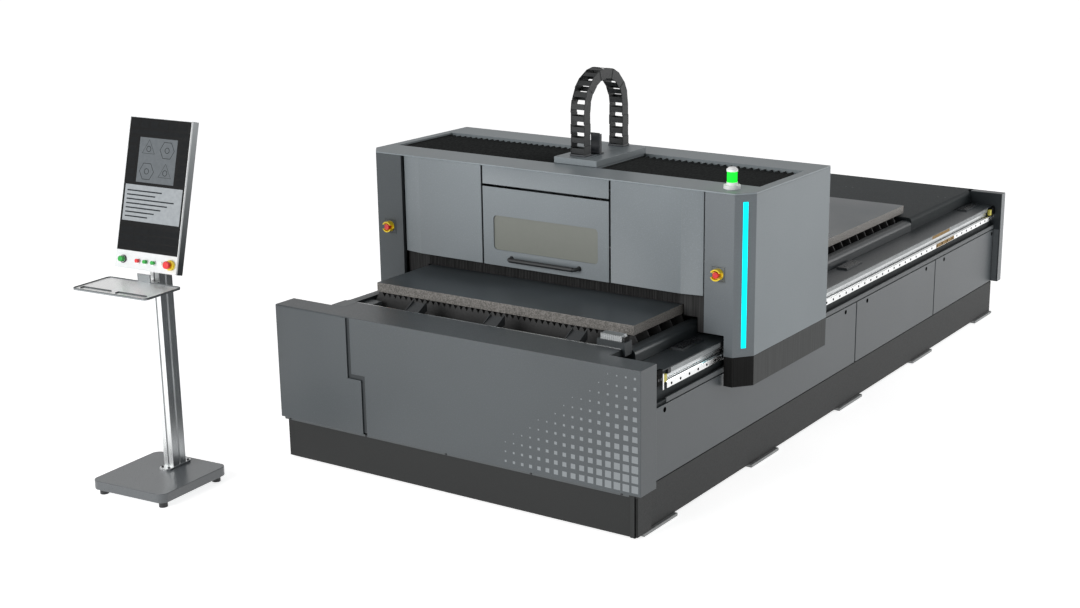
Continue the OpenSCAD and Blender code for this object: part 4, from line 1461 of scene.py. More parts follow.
@dataclass
class Gantry:
    """The gantry: columns, panels, curtains, lights and stop buttons."""

    shop: Workshop
    bristle_pitch: float = 9 * MM
    bristle_radius: float = 3.4 * MM
    sheet_gap: float = 4.5 * MM
    panel_lap: float = 8 * MM
    # Places of the bristle rows from the front and the back of the curtains
    curtain_shift: tuple[float, float] = (-2 * MM, -8 * MM)
    button_frame: float = 33 * MM
    frame_line: float = 0.8 * MM
    twist_mark: Pin = Pin(2.4 * MM, 0.4 * MM, 3)
    mark_radius: float = 8 * MM
    lip_wide: float = 10 * MM
    lip_thick: float = 1.5 * MM
    seam_shift: float = 5 * MM
    # Ends of the bright seam lines of painted highlight on the top, from the front
    seam_long: tuple[float, float] = (2 * MM, 48 * MM)
    rear_screw: Pin = Pin(5 * MM, 2.5 * MM, 12, 0.8)
    rear_screw_count: int = 9
    # Gaps of the rear screws to the sides and to the top and bottom
    rear_screw_inset: tuple[float, float] = (40 * MM, 18 * MM)

    def soften_covers(self) -> None:
        """Rounds the edges of the gantry covers and fittings."""
        widths = {
            "column_cover_right": 2.5,
            "column_cover_left": 2.5,
            "column_skirts": 1.5,
            "top_frame": 2.0,
            "front_panels": 2.0,
            "rear_panel": 1.5,
            "estop_shrouds": 1.0,
            "light_strip": 1.2,
            "signal_housing": 1.6,
            "signal_lens": 1.0,
        }
        self.shop.soften(widths, folded="front_panels")
        self.shop.soften({"estop_button_right": 4.0, "estop_button_left": 4.0}, 3)

    def add_bristles(self) -> None:
        """Adds upright bristles over the front and rear curtains."""
        curtain_low, curtain_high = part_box("brush_curtains")
        sheet_low, sheet_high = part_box("work_sheet")
        bottom = sheet_high.z + self.sheet_gap
        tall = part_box("front_panels")[0].z + self.panel_lap - bottom
        count = int((sheet_high.x - sheet_low.x) / self.bristle_pitch)
        front, rear = curtain_low.y + self.curtain_shift[0], curtain_high.y + self.curtain_shift[1]
        for word, y in (("front", front), ("rear", rear)):
            bristle = Pin(self.bristle_radius, tall, 6).mesh("curtain_bristle", (0, 0, 1))
            row = Row(count, Vector((sheet_low.x, y, bottom)), Vector((self.bristle_pitch, 0, 0)))
            name = f"curtain_bristles_{word}"
            self.shop.lay(bristle, name, Body.GANTRY, Slot.BRUSH, row)

    def mark_button(self, side: Side, body: Body) -> None:
        """Adds the thin square frame around a stop button and the twist marks on its head.

        Args:
            side: side of the gantry that it is on.
            body: body of the button.
        """
        low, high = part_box(f"estop_button_{side.word}")
        x, z = (low.x + high.x) / 2, (low.z + high.z) / 2
        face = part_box("column_cover_right")[0].y
        front, back = face - FILM, face + SINK
        line, reach = self.frame_line, self.button_frame + CLEAR
        rim, marks = Mould(), Mould()
        for band in (-self.button_frame, self.button_frame):
            rim.block((x - reach, front, z + band - line), (x + reach, back, z + band + line))
            rim.block((x + band - line, front, z - reach), (x + band + line, back, z + reach))
        for i in range(3):
            turn = math.radians(120 * i)
            spot = Vector((math.cos(turn), 0, math.sin(turn))) * self.mark_radius
            self.twist_mark.stand(marks, Vector((x, low.y, z)) + spot, (0, -1, 0))
        self.shop.cast(rim, f"button_frame_{side.word}", Body.GANTRY, Slot.DARK_PAINT)
        self.shop.cast(marks, f"twist_marks_{side.word}", body, Slot.RED)

    def add_seams(self) -> None:
        """Adds the folded lip of the left column in its coat of painted shade, and short bright lines of
        painted highlight at the front of the top.
        """
        low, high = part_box("column_cover_left")
        front = low.y + CLEAR / 2
        lip = Mould().block(
            (high.x - CLEAR, front, low.z), (high.x + self.lip_wide, front + self.lip_thick, high.z)
        )
        # The lip takes the left column's darker coat of painted shade.
        self.shop.cast(lip, "column_lip", Body.GANTRY, Slot.GANTRY_PAINT, "shade")
        door_low, door_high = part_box("door_panel")
        top_low, top_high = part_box("top_frame")
        front, back = (top_low.y + y for y in self.seam_long)
        half, shift, level = self.frame_line, self.seam_shift, top_high.z
        seam_highlights = Mould()
        for x in (door_low.x - shift, door_high.x + shift, high.x + shift):
            seam_highlights.block((x - half, front, level), (x + half, back, level + SINK))
        # The seams take the bright alloy coat as painted highlights.
        self.shop.cast(seam_highlights, "top_seams", Body.GANTRY, Slot.GANTRY_PAINT, "comb")

    def add_rear_screws(self) -> None:
        """Adds the screw rows of the rear panel."""
        low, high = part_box("rear_panel")
        inset, margin = self.rear_screw_inset
        step = (high.x - low.x - 2 * inset) / (self.rear_screw_count - 1)
        for word, z in (("top", high.z - margin), ("bottom", low.z + margin)):
            head = self.rear_screw.mesh("rear_screw", (0, 1, 0))
            row = Row(self.rear_screw_count, Vector((low.x + inset, high.y, z)), Vector((step, 0, 0)))
            self.shop.lay(head, f"rear_screws_{word}", Body.GANTRY, Slot.BLACK_PAINT, row)

    def dress(self) -> None:
        """Builds everything on the gantry."""
        self.soften_covers()
        self.add_bristles()
        self.mark_button(Side.RIGHT, Body.GANTRY_STOP_RIGHT)
        self.mark_button(Side.LEFT, Body.GANTRY_STOP_LEFT)
        self.add_seams()
        self.add_rear_screws()


@dataclass
class Door:
    """The inspection door with its window and handle."""

    shop: Workshop
    foot_inset: float = 9 * MM
    foot: Pin = Pin(13 * MM, 3 * MM, 24, 0.92)
    grip_radius: float = 11.5 * MM
    grip_out: float = 9 * MM
    grip_inset: float = 22 * MM
    hinge_inset: float = 32 * MM
    hinge_drop: float = 4.5 * MM
    sleeve_half: float = 15.1 * MM
    sleeve_radius: float = 4.7 * MM
    leaf_half: float = 1.7 * MM
    leaf_drop: float = 4.9 * MM

    def add_grip(self) -> None:
        """Adds the handle's feet and the round grip between them."""
        low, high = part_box("door_handle")
        face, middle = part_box("door_panel")[0].y, (low.z + high.z) / 2
        handle = Mould()
        for x in (low.x + self.foot_inset, high.x - self.foot_inset):
            self.foot.stand(handle, (x, face, middle), (0, -1, 0))
        start = (low.x + self.grip_inset, low.y + self.grip_out, middle)
        handle.rod(start, (1, 0, 0), self.grip_radius, high.x - low.x - 2 * self.grip_inset, 24)
        self.shop.cast(handle, "handle_feet", Body.DOOR, Slot.BLACK_PAINT)

    def sleeve_hinges(self) -> None:
        """Adds the sleeves that turn on the hinge pins."""
        low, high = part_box("hinge_leaves")
        y, z = (low.y + high.y) / 2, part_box("door_panel")[1].z - self.hinge_drop
        half, leaf = self.sleeve_half, self.leaf_half
        sleeves = Mould()
        for x in (low.x + self.hinge_inset, high.x - self.hinge_inset):
            sleeves.rod((x - half, y, z), (1, 0, 0), self.sleeve_radius, 2 * half, 24)
            sleeves.block((x - half, y - leaf, z - self.leaf_drop), (x + half, y + leaf, z))
        self.shop.cast(sleeves, "hinge_sleeves", Body.DOOR, Slot.BLACK_PAINT, "socket")

    def dress(self) -> None:
        """Builds everything on the door."""
        self.shop.soften({"door_panel": 2.0, "door_window": 0.8})
        self.shop.paint("hinge_leaves", "socket")
        self.add_grip()
        self.sleeve_hinges()


@dataclass
class Carriage:
    """The carriage: top plate, drag chain and bellows."""

    shop: Workshop
    pleat_pitch: float = 36 * MM
    pleat_tall: float = 24 * MM
    pleat_drop: float = 2 * MM
    end_plate: float = 4 * MM
    cloth: float = 2.4 * MM
    chain_wide: float = 85 * MM
    chain_tall: float = 55 * MM
    chain_radius: float = 178 * MM
    leg_links: int = 4
    arc_links: int = 10
    link_plate: float = 5 * MM
    link_cut: float = 3 * MM
    link_step: float = 2.2 * MM
    link_edge: float = 1 * MM
    bar_thick: float = 4 * MM
    bar_sink: float = 1 * MM
    foot_margin: float = 3 * MM
    foot_tall: float = 10 * MM
    bracket_shift: float = 76 * MM
    # Left and right ends of the chain's bracket from the chain's middle
    bracket_span: tuple[float, float] = (10 * MM, 62 * MM)
    bracket_thick: float = 6 * MM
    bracket_foot: float = 40 * MM
    # Thickness and depth of the bracket's turned-up edge
    bracket_edge: tuple[float, float] = (4 * MM, 22 * MM)
    cloth_lap: float = 4 * MM
    cloth_held: float = 6 * MM
    cloth_free: float = 2 * MM

    def pleats(self, x0: float, x1: float) -> bpy.types.Mesh:
        """Returns a run of pleats between two places.

        Args:
            x0: left end.
            x1: right end.

        Returns:
            The mesh of the run.
        """
        low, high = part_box("bellows")
        top, end = high.z - self.pleat_drop, self.end_plate
        levels = (top - self.pleat_tall, top)
        count = int((x1 - x0 - 2 * end) / self.pleat_pitch)
        step = (x1 - x0 - 2 * end) / (2 * count)
        ridge = [Vector((x0 + end + i * step, low.y, levels[i % 2])) for i in range(2 * count + 1)]
        under = [p - Vector((0, 0, self.cloth)) for p in reversed(ridge)]
        mould = Mould().prism(ridge + under, Vector((0, high.y - low.y, 0)))
        for x in (x0, x1 - end):
            mould.block((x, low.y, low.z), (x + end, high.y, high.z))
        return mould.mesh("pleats", 10.0)

    def link(self, mould: Mould, place: Matrix, length: float, inset: float, flare: float = 0.0) -> None:
        """Adds one chain link: two side plates with cut corners and a bar on each face.

        Args:
            mould: the mould that takes it.
            place: matrix of its middle, with the chain along Z and the faces along Y.
            length: pitch of the link.
            inset: distance of its plates from the chain's sides.
            flare: growth of its half length towards the outside of a bend.
        """
        tall, wide = self.chain_tall / 2, self.chain_wide / 2 - inset
        plate, cut = self.link_plate, self.link_cut
        back = (self.chain_radius + tall) / math.hypot(1.0, flare) - self.chain_radius
        outer, inner = length / 2 + flare * back, length / 2 - flare * tall
        corners = [
            (cut - back, -outer),
            (tall, -inner),
            (tall, inner),
            (cut - back, outer),
            (-back, outer - cut),
            (-back, cut - outer),
        ]
        pull = place.to_3x3()
        for x in (-wide, wide - plate):
            mould.prism([place @ Vector((x, y, z)) for y, z in corners], pull @ Vector((plate, 0, 0)))
        half, reach = length / 4, wide - plate
        bar = [(-reach, -half), (reach, -half), (reach, half), (-reach, half)]
        for y in (self.bar_sink - back, tall - self.bar_thick - self.bar_sink):
            outline = [place @ Vector((x, y, z)) for x, z in bar]
            mould.prism(outline, pull @ Vector((0, self.bar_thick, 0)))

    def loop_chain(self, middle: Vector) -> None:
        """Stands a chain with flush side plates in for the plain links.

        Args:
            middle: middle of the chain.
        """
        low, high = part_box("drag_chain")
        crown = high.z - self.chain_radius - self.chain_tall / 2
        pitch = (crown - low.z) / self.leg_links
        chain = Mould()
        for side in (-1, 1):
            for i in range(self.leg_links):
                spot = (middle.x, middle.y + side * self.chain_radius, low.z + (i + 0.5) * pitch)
                self.link(chain, Matrix.Translation(spot), pitch, i % 2 * self.link_step)
        turn = math.pi / self.arc_links
        flare = math.tan(turn / 2)
        centre = Matrix.Translation((middle.x, middle.y, crown))
        outwards = Matrix.Translation((0, -self.chain_radius, 0))
        for i in range(self.arc_links):
            place = centre @ Matrix.Rotation(-(i + 0.5) * turn, 4, "X") @ outwards
            self.link(chain, place, 2 * self.chain_radius * flare, i % 2 * self.link_step, flare)
        self.shop.stand_in(chain, "chain_links", "drag_chain", self.link_edge, 1)

    def seat_chain(self, middle: Vector) -> None:
        """Stands low flanges and a bracket with a turned-up edge in for the plain feet.

        Args:
            middle: middle of the chain.
        """
        low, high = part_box("chain_feet")
        reach, half = self.chain_wide / 2 + self.foot_margin, self.chain_tall / 2 + self.foot_margin
        feet = Mould()
        for side in (-1, 1):
            y = middle.y + side * self.chain_radius
            feet.block(
                (middle.x - reach, y - half, low.z), (middle.x + reach, y + half, low.z + self.foot_tall)
            )
        y, thick = middle.y - self.chain_radius + self.bracket_shift, self.bracket_thick
        x0, x1 = (middle.x + x for x in self.bracket_span)
        feet.block((x0, y, low.z), (x1, y + thick, high.z))
        feet.block((x0, y, low.z), (x1, y + self.bracket_foot, low.z + thick))
        wide, deep = self.bracket_edge
        feet.block((x1 - wide, y + thick, low.z + thick), (x1, y + deep, high.z - thick))
        self.shop.stand_in(feet, "chain_seat", "chain_feet", self.link_edge, 1)

    def hang_bellows(self) -> None:
        """Stands two pleated bellows in for the rigid ones."""
        low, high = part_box("bellows")
        plate_low, plate_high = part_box("carriage_plate")
        lap, held, free = self.cloth_lap, self.cloth_held, self.cloth_free
        runs = (
            ("bellows_left", low.x, plate_low.x + lap, low.x + held, plate_low.x - free),
            ("bellows_right", plate_high.x - lap, high.x, high.x - held, plate_high.x + free),
        )
        for name, x0, x1, fixed, moving in runs:
            piece = self.shop.put(self.pleats(x0, x1), name, Slot.BELLOWS)
            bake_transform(piece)
            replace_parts(piece, "bellows")

    def dress(self) -> None:
        """Builds everything on the carriage."""
        self.shop.soften({"carriage_plate": 2.0})
        low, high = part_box("drag_chain")
        middle = (low + high) / 2
        self.loop_chain(middle)
        self.seat_chain(middle)
        self.hang_bellows()


@dataclass
class Console:
    """The standing console with its screen and buttons."""

    shop: Workshop
    place: Vector
    turn: Euler
    pole: Vector
    screen_half: float = 171.0
    screen_face: float = 0.6 * MM
    print_thick: float = 0.25 * MM
    line_thick: float = 0.2 * MM
    line_wide: float = 3 * MM
    outline_radius: float = 44 * MM
    hole_radius: float = 14 * MM
    button_level: float = 42 * MM
    # Place, radius and height of the large bezel, then the same for the small ones
    large_button: tuple[float, float, float] = (-135 * MM, 18.5 * MM, 6.2 * MM)
    small_buttons: tuple[float, ...] = (-45 * MM, 1 * MM, 48 * MM, 97 * MM)
    small_ring: tuple[float, float] = (13 * MM, 3.2 * MM)
    ring_band: float = 3.4 * MM
    tray_place: tuple[float, float, float] = (-9 * MM, -215 * MM, 1003 * MM)
    tray_half: tuple[float, float] = (218.8 * MM, 118.8 * MM)
    tray_corner: float = 18.8 * MM
    # Thickness and height of the tray's rim, then of its stops
    tray_rim: tuple[float, float] = (2.4 * MM, 4 * MM)
    tray_stop: tuple[float, float] = (2.6 * MM, 5 * MM)
    stop_starts: tuple[float, float] = (-188 * MM, 22 * MM)
    stop_long: float = 168 * MM
    stop_line: float = -76 * MM
    stop_return: float = 20 * MM
    flange_thick: float = 10 * MM
    flange_screw: Pin = Pin(6 * MM, 5 * MM)
    screw_half: tuple[float, float] = (20 * MM, 66 * MM)
    pad_across: float = 181 * MM
    pad_along: tuple[float, float] = (-290 * MM, 76 * MM)
    pad_sleeve: Pin = Pin(20.4 * MM, 29.6 * MM, 28)

    def soften_pieces(self) -> None:
        """Rounds the edges of the console and its buttons."""
        widths = {
            "console_base": 5.0,
            "console_column": 0.8,
            "console_housing": 2.0,
            "console_screen": 0.8,
            "console_estop_collar": 4.0,
            "console_estop": 5.0,
            "power_button": 2.0,
            "stop_button": 1.5,
            "start_button": 1.5,
            "resume_button": 1.5,
            "lamp_button": 1.5,
        }
        self.shop.soften(widths, 3)
        self.shop.soften({"console_tray": 1.5})

    def head_frame(self) -> Matrix:
        """Returns the matrix of the leaning head."""
        return Matrix.Translation(self.place) @ self.turn.to_matrix().to_4x4()

    def draw_field(
        self, mould: Mould, spot: tuple[float, float], size: tuple[float, float], thick: float
    ) -> None:
        """Adds a flat field to the picture on the screen.

        Args:
            mould: the mould that takes it.
            spot: its lower left corner, across and up, in millimetres.
            size: its width and height in millimetres.
            thick: its thickness into the screen in metres.
        """
        (x, z), (wide, tall) = spot, size
        face = self.screen_face
        mould.block((x * MM, face, z * MM), ((x + wide) * MM, face + thick, (z + tall) * MM))

    def draw_ring(
        self, mould: Mould, spot: Vector, radius: float, band: float, depth: float, sides: int, turn: float
    ) -> None:
        """Adds a ring of straight sides in the head's frame.

        Args:
            mould: the mould that takes it.
            spot: middle of its front.
            radius: radius of its outer corners.
            band: width of the ring.
            depth: depth of the ring.
            sides: number of its sides.
            turn: angle of its first corner.
        """
        inner = radius - band
        for i in range(sides):
            a, b = (math.tau * k / sides + turn for k in (i, i + 1))
            corners = [(radius, a), (radius, b), (inner, b), (inner, a)]
            outline = [spot + Vector((r * math.cos(t), 0, r * math.sin(t))) for r, t in corners]
            mould.prism(outline, Vector((0, depth, 0)))

    def draw_fields(self) -> Mould:
        """Returns the dim fields of the picture: top bar, title, lists and key rows."""
        left, thick = -self.screen_half, self.print_thick
        fields = Mould()
        self.draw_field(fields, (left, 626.0), (2 * self.screen_half, 18.0), thick)
        for i in range(6):
            self.draw_field(fields, (left + i * 57.5, 656.0), (44.0, 32.0), thick)
            for x in (left, self.screen_half - 43.0):
                self.draw_field(fields, (x, 404.0 + i * 36.0), (43.0, 24.0), thick)
        for i in range(4):
            for j in range(3):
                self.draw_field(fields, (left + i * 87.0, 100.0 + j * 34.0), (80.0, 26.0), thick)
        return fields

    def draw_lines(self) -> Mould:
        """Returns the lines of the picture: the cut outlines on the plate and the rows of the list."""
        level, thick = self.screen_face - self.line_thick, self.line_thick
        lines = Mould()
        for i in range(2):
            for j in range(2):
                spot = Vector(((-55.0 + i * 110.0) * MM, level, (456.0 + j * 104.0) * MM))
                for radius, sides in ((self.outline_radius, 6 if i == j else 3), (self.hole_radius, 20)):
                    turn = math.pi / sides - math.pi / 2
                    self.draw_ring(lines, spot, radius, self.line_wide, thick, sides, turn)
        for i in range(7):
            size = (136.0 + 37 * i % 150, 6.0)
            self.draw_field(lines, (14.0 - self.screen_half, 240.0 + i * 20.0), size, -thick)
        return lines

    def draw_screen(self) -> None:
        """Lays a plain nesting view on the screen: a plate with cut outlines, a list, bars and key rows."""
        plate, band = Mould(), Mould()
        self.draw_field(plate, (-112.0, 404.0), (224.0, 208.0), self.print_thick)
        self.draw_field(band, (-self.screen_half, 222.0), (2 * self.screen_half, 168.0), self.print_thick)
        for mould, name, finish in (
            (plate, "screen_plate", "screen_mid"),
            (band, "screen_band", "screen_pale"),
            (self.draw_fields(), "screen_fields", "screen_dim"),
            (self.draw_lines(), "screen_lines", "screen_line"),
        ):
            self.shop.cast(mould.turned(self.head_frame()), name, Body.BED, Slot.SCREEN, finish)

    def add_rings(self) -> None:
        """Adds the black bezel of the large button and the pale bezels of the small ones."""
        black, pale = Mould(), Mould()
        rings = [(black, *self.large_button)]
        rings += [(pale, x, *self.small_ring) for x in self.small_buttons]
        for mould, x, radius, proud in rings:
            spot = Vector((x, -proud, self.button_level))
            self.draw_ring(mould, spot, radius, self.ring_band, proud, 28, 0.0)
        self.shop.cast(black.turned(self.head_frame()), "button_bezel", Body.BED, Slot.BLACK_PAINT)
        self.shop.cast(pale.turned(self.head_frame()), "button_rings", Body.BED, Slot.PROFILE)

    def fold(self, mould: Mould, start: Vector, end: Vector, size: tuple[float, float]) -> None:
        """Adds one straight upstand.

        Args:
            mould: the mould that takes it.
            start: foot of its first end.
            end: foot of its second end.
            size: its thickness and height.
        """
        wide, tall = size
        across = (end - start).normalized().cross(Vector((0, 0, 1))) * (wide / 2)
        outline = [start + across, end + across, end - across, start - across]
        mould.prism(outline, Vector((0, 0, tall)))

    def add_tray_folds(self) -> None:
        """Adds the turned-up rim of the tray and its two front stops."""
        half_x, half_y = self.tray_half
        corner = self.tray_corner
        path = []
        for cx, cy, start in ((1, 1, 0), (-1, 1, 90), (-1, -1, 180), (1, -1, 270)):
            middle = Vector((cx * (half_x - corner), cy * (half_y - corner), 0))
            for step in range(5):
                t = math.radians(start + step * 22.5)
                path.append(middle + Vector((math.cos(t), math.sin(t), 0)) * corner)
        folds = Mould()
        for first, second in zip(path, path[1:] + path[:1]):
            self.fold(folds, first, second, self.tray_rim)
        for x in self.stop_starts:
            front = Vector((x, self.stop_line, 0))
            self.fold(folds, front, front + Vector((self.stop_long, 0, 0)), self.tray_stop)
            self.fold(folds, front - Vector((0, self.stop_return, 0)), front, self.tray_stop)
        yaw = Matrix.Rotation(self.turn.z, 4, "Z")
        folds.turned(Matrix.Translation(self.pole) @ yaw @ Matrix.Translation(self.tray_place))
        # The rim's darker coat is painted shade that draws the tray's outlines.
        self.shop.cast(folds, "tray_folds", Body.BED, Slot.MACHINED, "fold")

    def add_screws(self) -> None:
        """Adds the flange screws of the pole and the black sleeves of the pads."""
        low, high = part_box("console_column")
        yaw = Matrix.Rotation(self.turn.z, 3, "Z")
        middle = (low + high) / 2
        middle.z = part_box("console_base")[1].z + self.flange_thick
        across, along = self.screw_half
        screws = Mould()
        for s in (-1, 1):
            for t in (-1, 1):
                spot = middle + yaw @ Vector((s * across, t * along, 0))
                self.flange_screw.stand(screws, spot, (0, 0, 1))
            for y in self.pad_along:
                spot = self.pole + yaw @ Vector((s * self.pad_across, y, 0))
                self.pad_sleeve.stand(screws, spot, (0, 0, 1))
        self.shop.cast(screws, "pole_screws", Body.BED, Slot.BLACK_PAINT)

    def dress(self) -> None:
        """Builds everything on the console."""
        self.soften_pieces()
        self.draw_screen()
        self.add_rings()
        self.add_tray_folds()
        self.add_screws()


@dataclass(frozen=True)
class SoftBox:
    """One square studio light, in metres and watts."""

    name: str
    place: tuple[float, float, float]
    target: tuple[float, float, float]
    power: float
    size: float = 5.0

    def hang(self) -> None:
        """Hangs the light and aims it."""
        lamp = bpy.data.lights.new(self.name, "AREA")
        lamp.size = self.size
        lamp.energy = self.power
        holder = place_object(self.name, lamp)
        holder.location = self.place
        aim = Vector(self.target) - Vector(self.place)
        holder.rotation_euler = aim.to_track_quat("-Z", "Y").to_euler()


@dataclass
class Studio:
    """Floor, light and the camera at the photograph's angle."""

    datum: Vector
    camera_place: tuple[float, float, float] = (4645.2 * MM, -5911.5 * MM, 2971.6 * MM)
    azimuth: float = 31.678
    elevation: float = 15.578
    lens: float = 56.869
    shift: tuple[float, float] = (-0.0849, 0.0101)
    floor_half: float = 40.0
    floor_tone: tuple[float, float] = (0.78, 0.82)
    floor_glow: float = 0.95
    sky_light: float = 0.3
    sky_shine: float = 0.7
    boxes: tuple[SoftBox, ...] = (
        SoftBox("key_box", (-2.2, -9.4, 3.4), (0.0, 0.0, 0.8), 480.0),
        SoftBox("side_box", (7.4, 7.6, 2.8), (0.0, 1.4, 0.7), 300.0),
    )

    def lay_floor(self) -> None:
        """Lays a plain pale floor."""
        half = self.floor_half
        slab = Mould().block((-half, -half, -0.02), (half, half, 0))
        floor = place_object("studio_floor", slab.mesh("studio_floor"))
        graph = Graph("floor_paper")
        paper = graph.tone(graph.cloud(0.6), (1.0, 1.0, 1.0, 1.0), *self.floor_tone)
        graph.feed("Base Color", paper)
        graph.feed("Emission Color", paper)
        graph.set("Emission Strength", self.floor_glow)
        graph.set("Roughness", 0.9)
        floor.data.materials.append(graph.material)

    def light_sky(self) -> None:
        """Sets an even sky, brighter in mirrors and white to the camera."""
        world = bpy.data.worlds.new("studio_sky")
        bpy.context.scene.world = world
        world.use_nodes = True
        nodes, links = world.node_tree.nodes, world.node_tree.links
        path = nodes.new("ShaderNodeLightPath").outputs
        nodes["Background"].inputs["Color"].default_value = (1.0, 1.0, 1.0, 1.0)
        nodes["Background"].inputs["Strength"].default_value = self.sky_light
        light = nodes["Background"].outputs[0]
        for ray, strength in (("Is Glossy Ray", self.sky_shine), ("Is Camera Ray", 1.0)):
            paper = nodes.new("ShaderNodeBackground")
            paper.inputs["Color"].default_value = (1.0, 1.0, 1.0, 1.0)
            paper.inputs["Strength"].default_value = strength
            choice = nodes.new("ShaderNodeMixShader")
            links.new(path[ray], choice.inputs[0])
            links.new(light, choice.inputs[1])
            links.new(paper.outputs[0], choice.inputs[2])
            light = choice.outputs[0]
        links.new(light, nodes["World Output"].inputs["Surface"])

    def set_camera(self) -> None:
        """Sets the camera."""
        data = bpy.data.cameras.new("photo_camera")
        data.lens = self.lens
        data.sensor_width = 36.0
        data.shift_x, data.shift_y = self.shift
        data.clip_end = 200.0
        camera = place_object("photo_camera", data)
        camera.location = self.datum + Vector(self.camera_place)
        a, e = math.radians(self.azimuth), math.radians(self.elevation)
        back = Vector((math.sin(a) * math.cos(e), -math.cos(a) * math.cos(e), math.sin(e)))
        camera.rotation_euler = (-back).to_track_quat("-Z", "Y").to_euler()
        bpy.context.scene.camera = camera

    def build(self) -> None:
        """Builds the studio."""
        self.lay_floor()
        self.light_sky()
        for box in self.boxes:
            box.hang()
        self.set_camera()
        bpy.context.scene.view_settings.view_transform = "Standard"


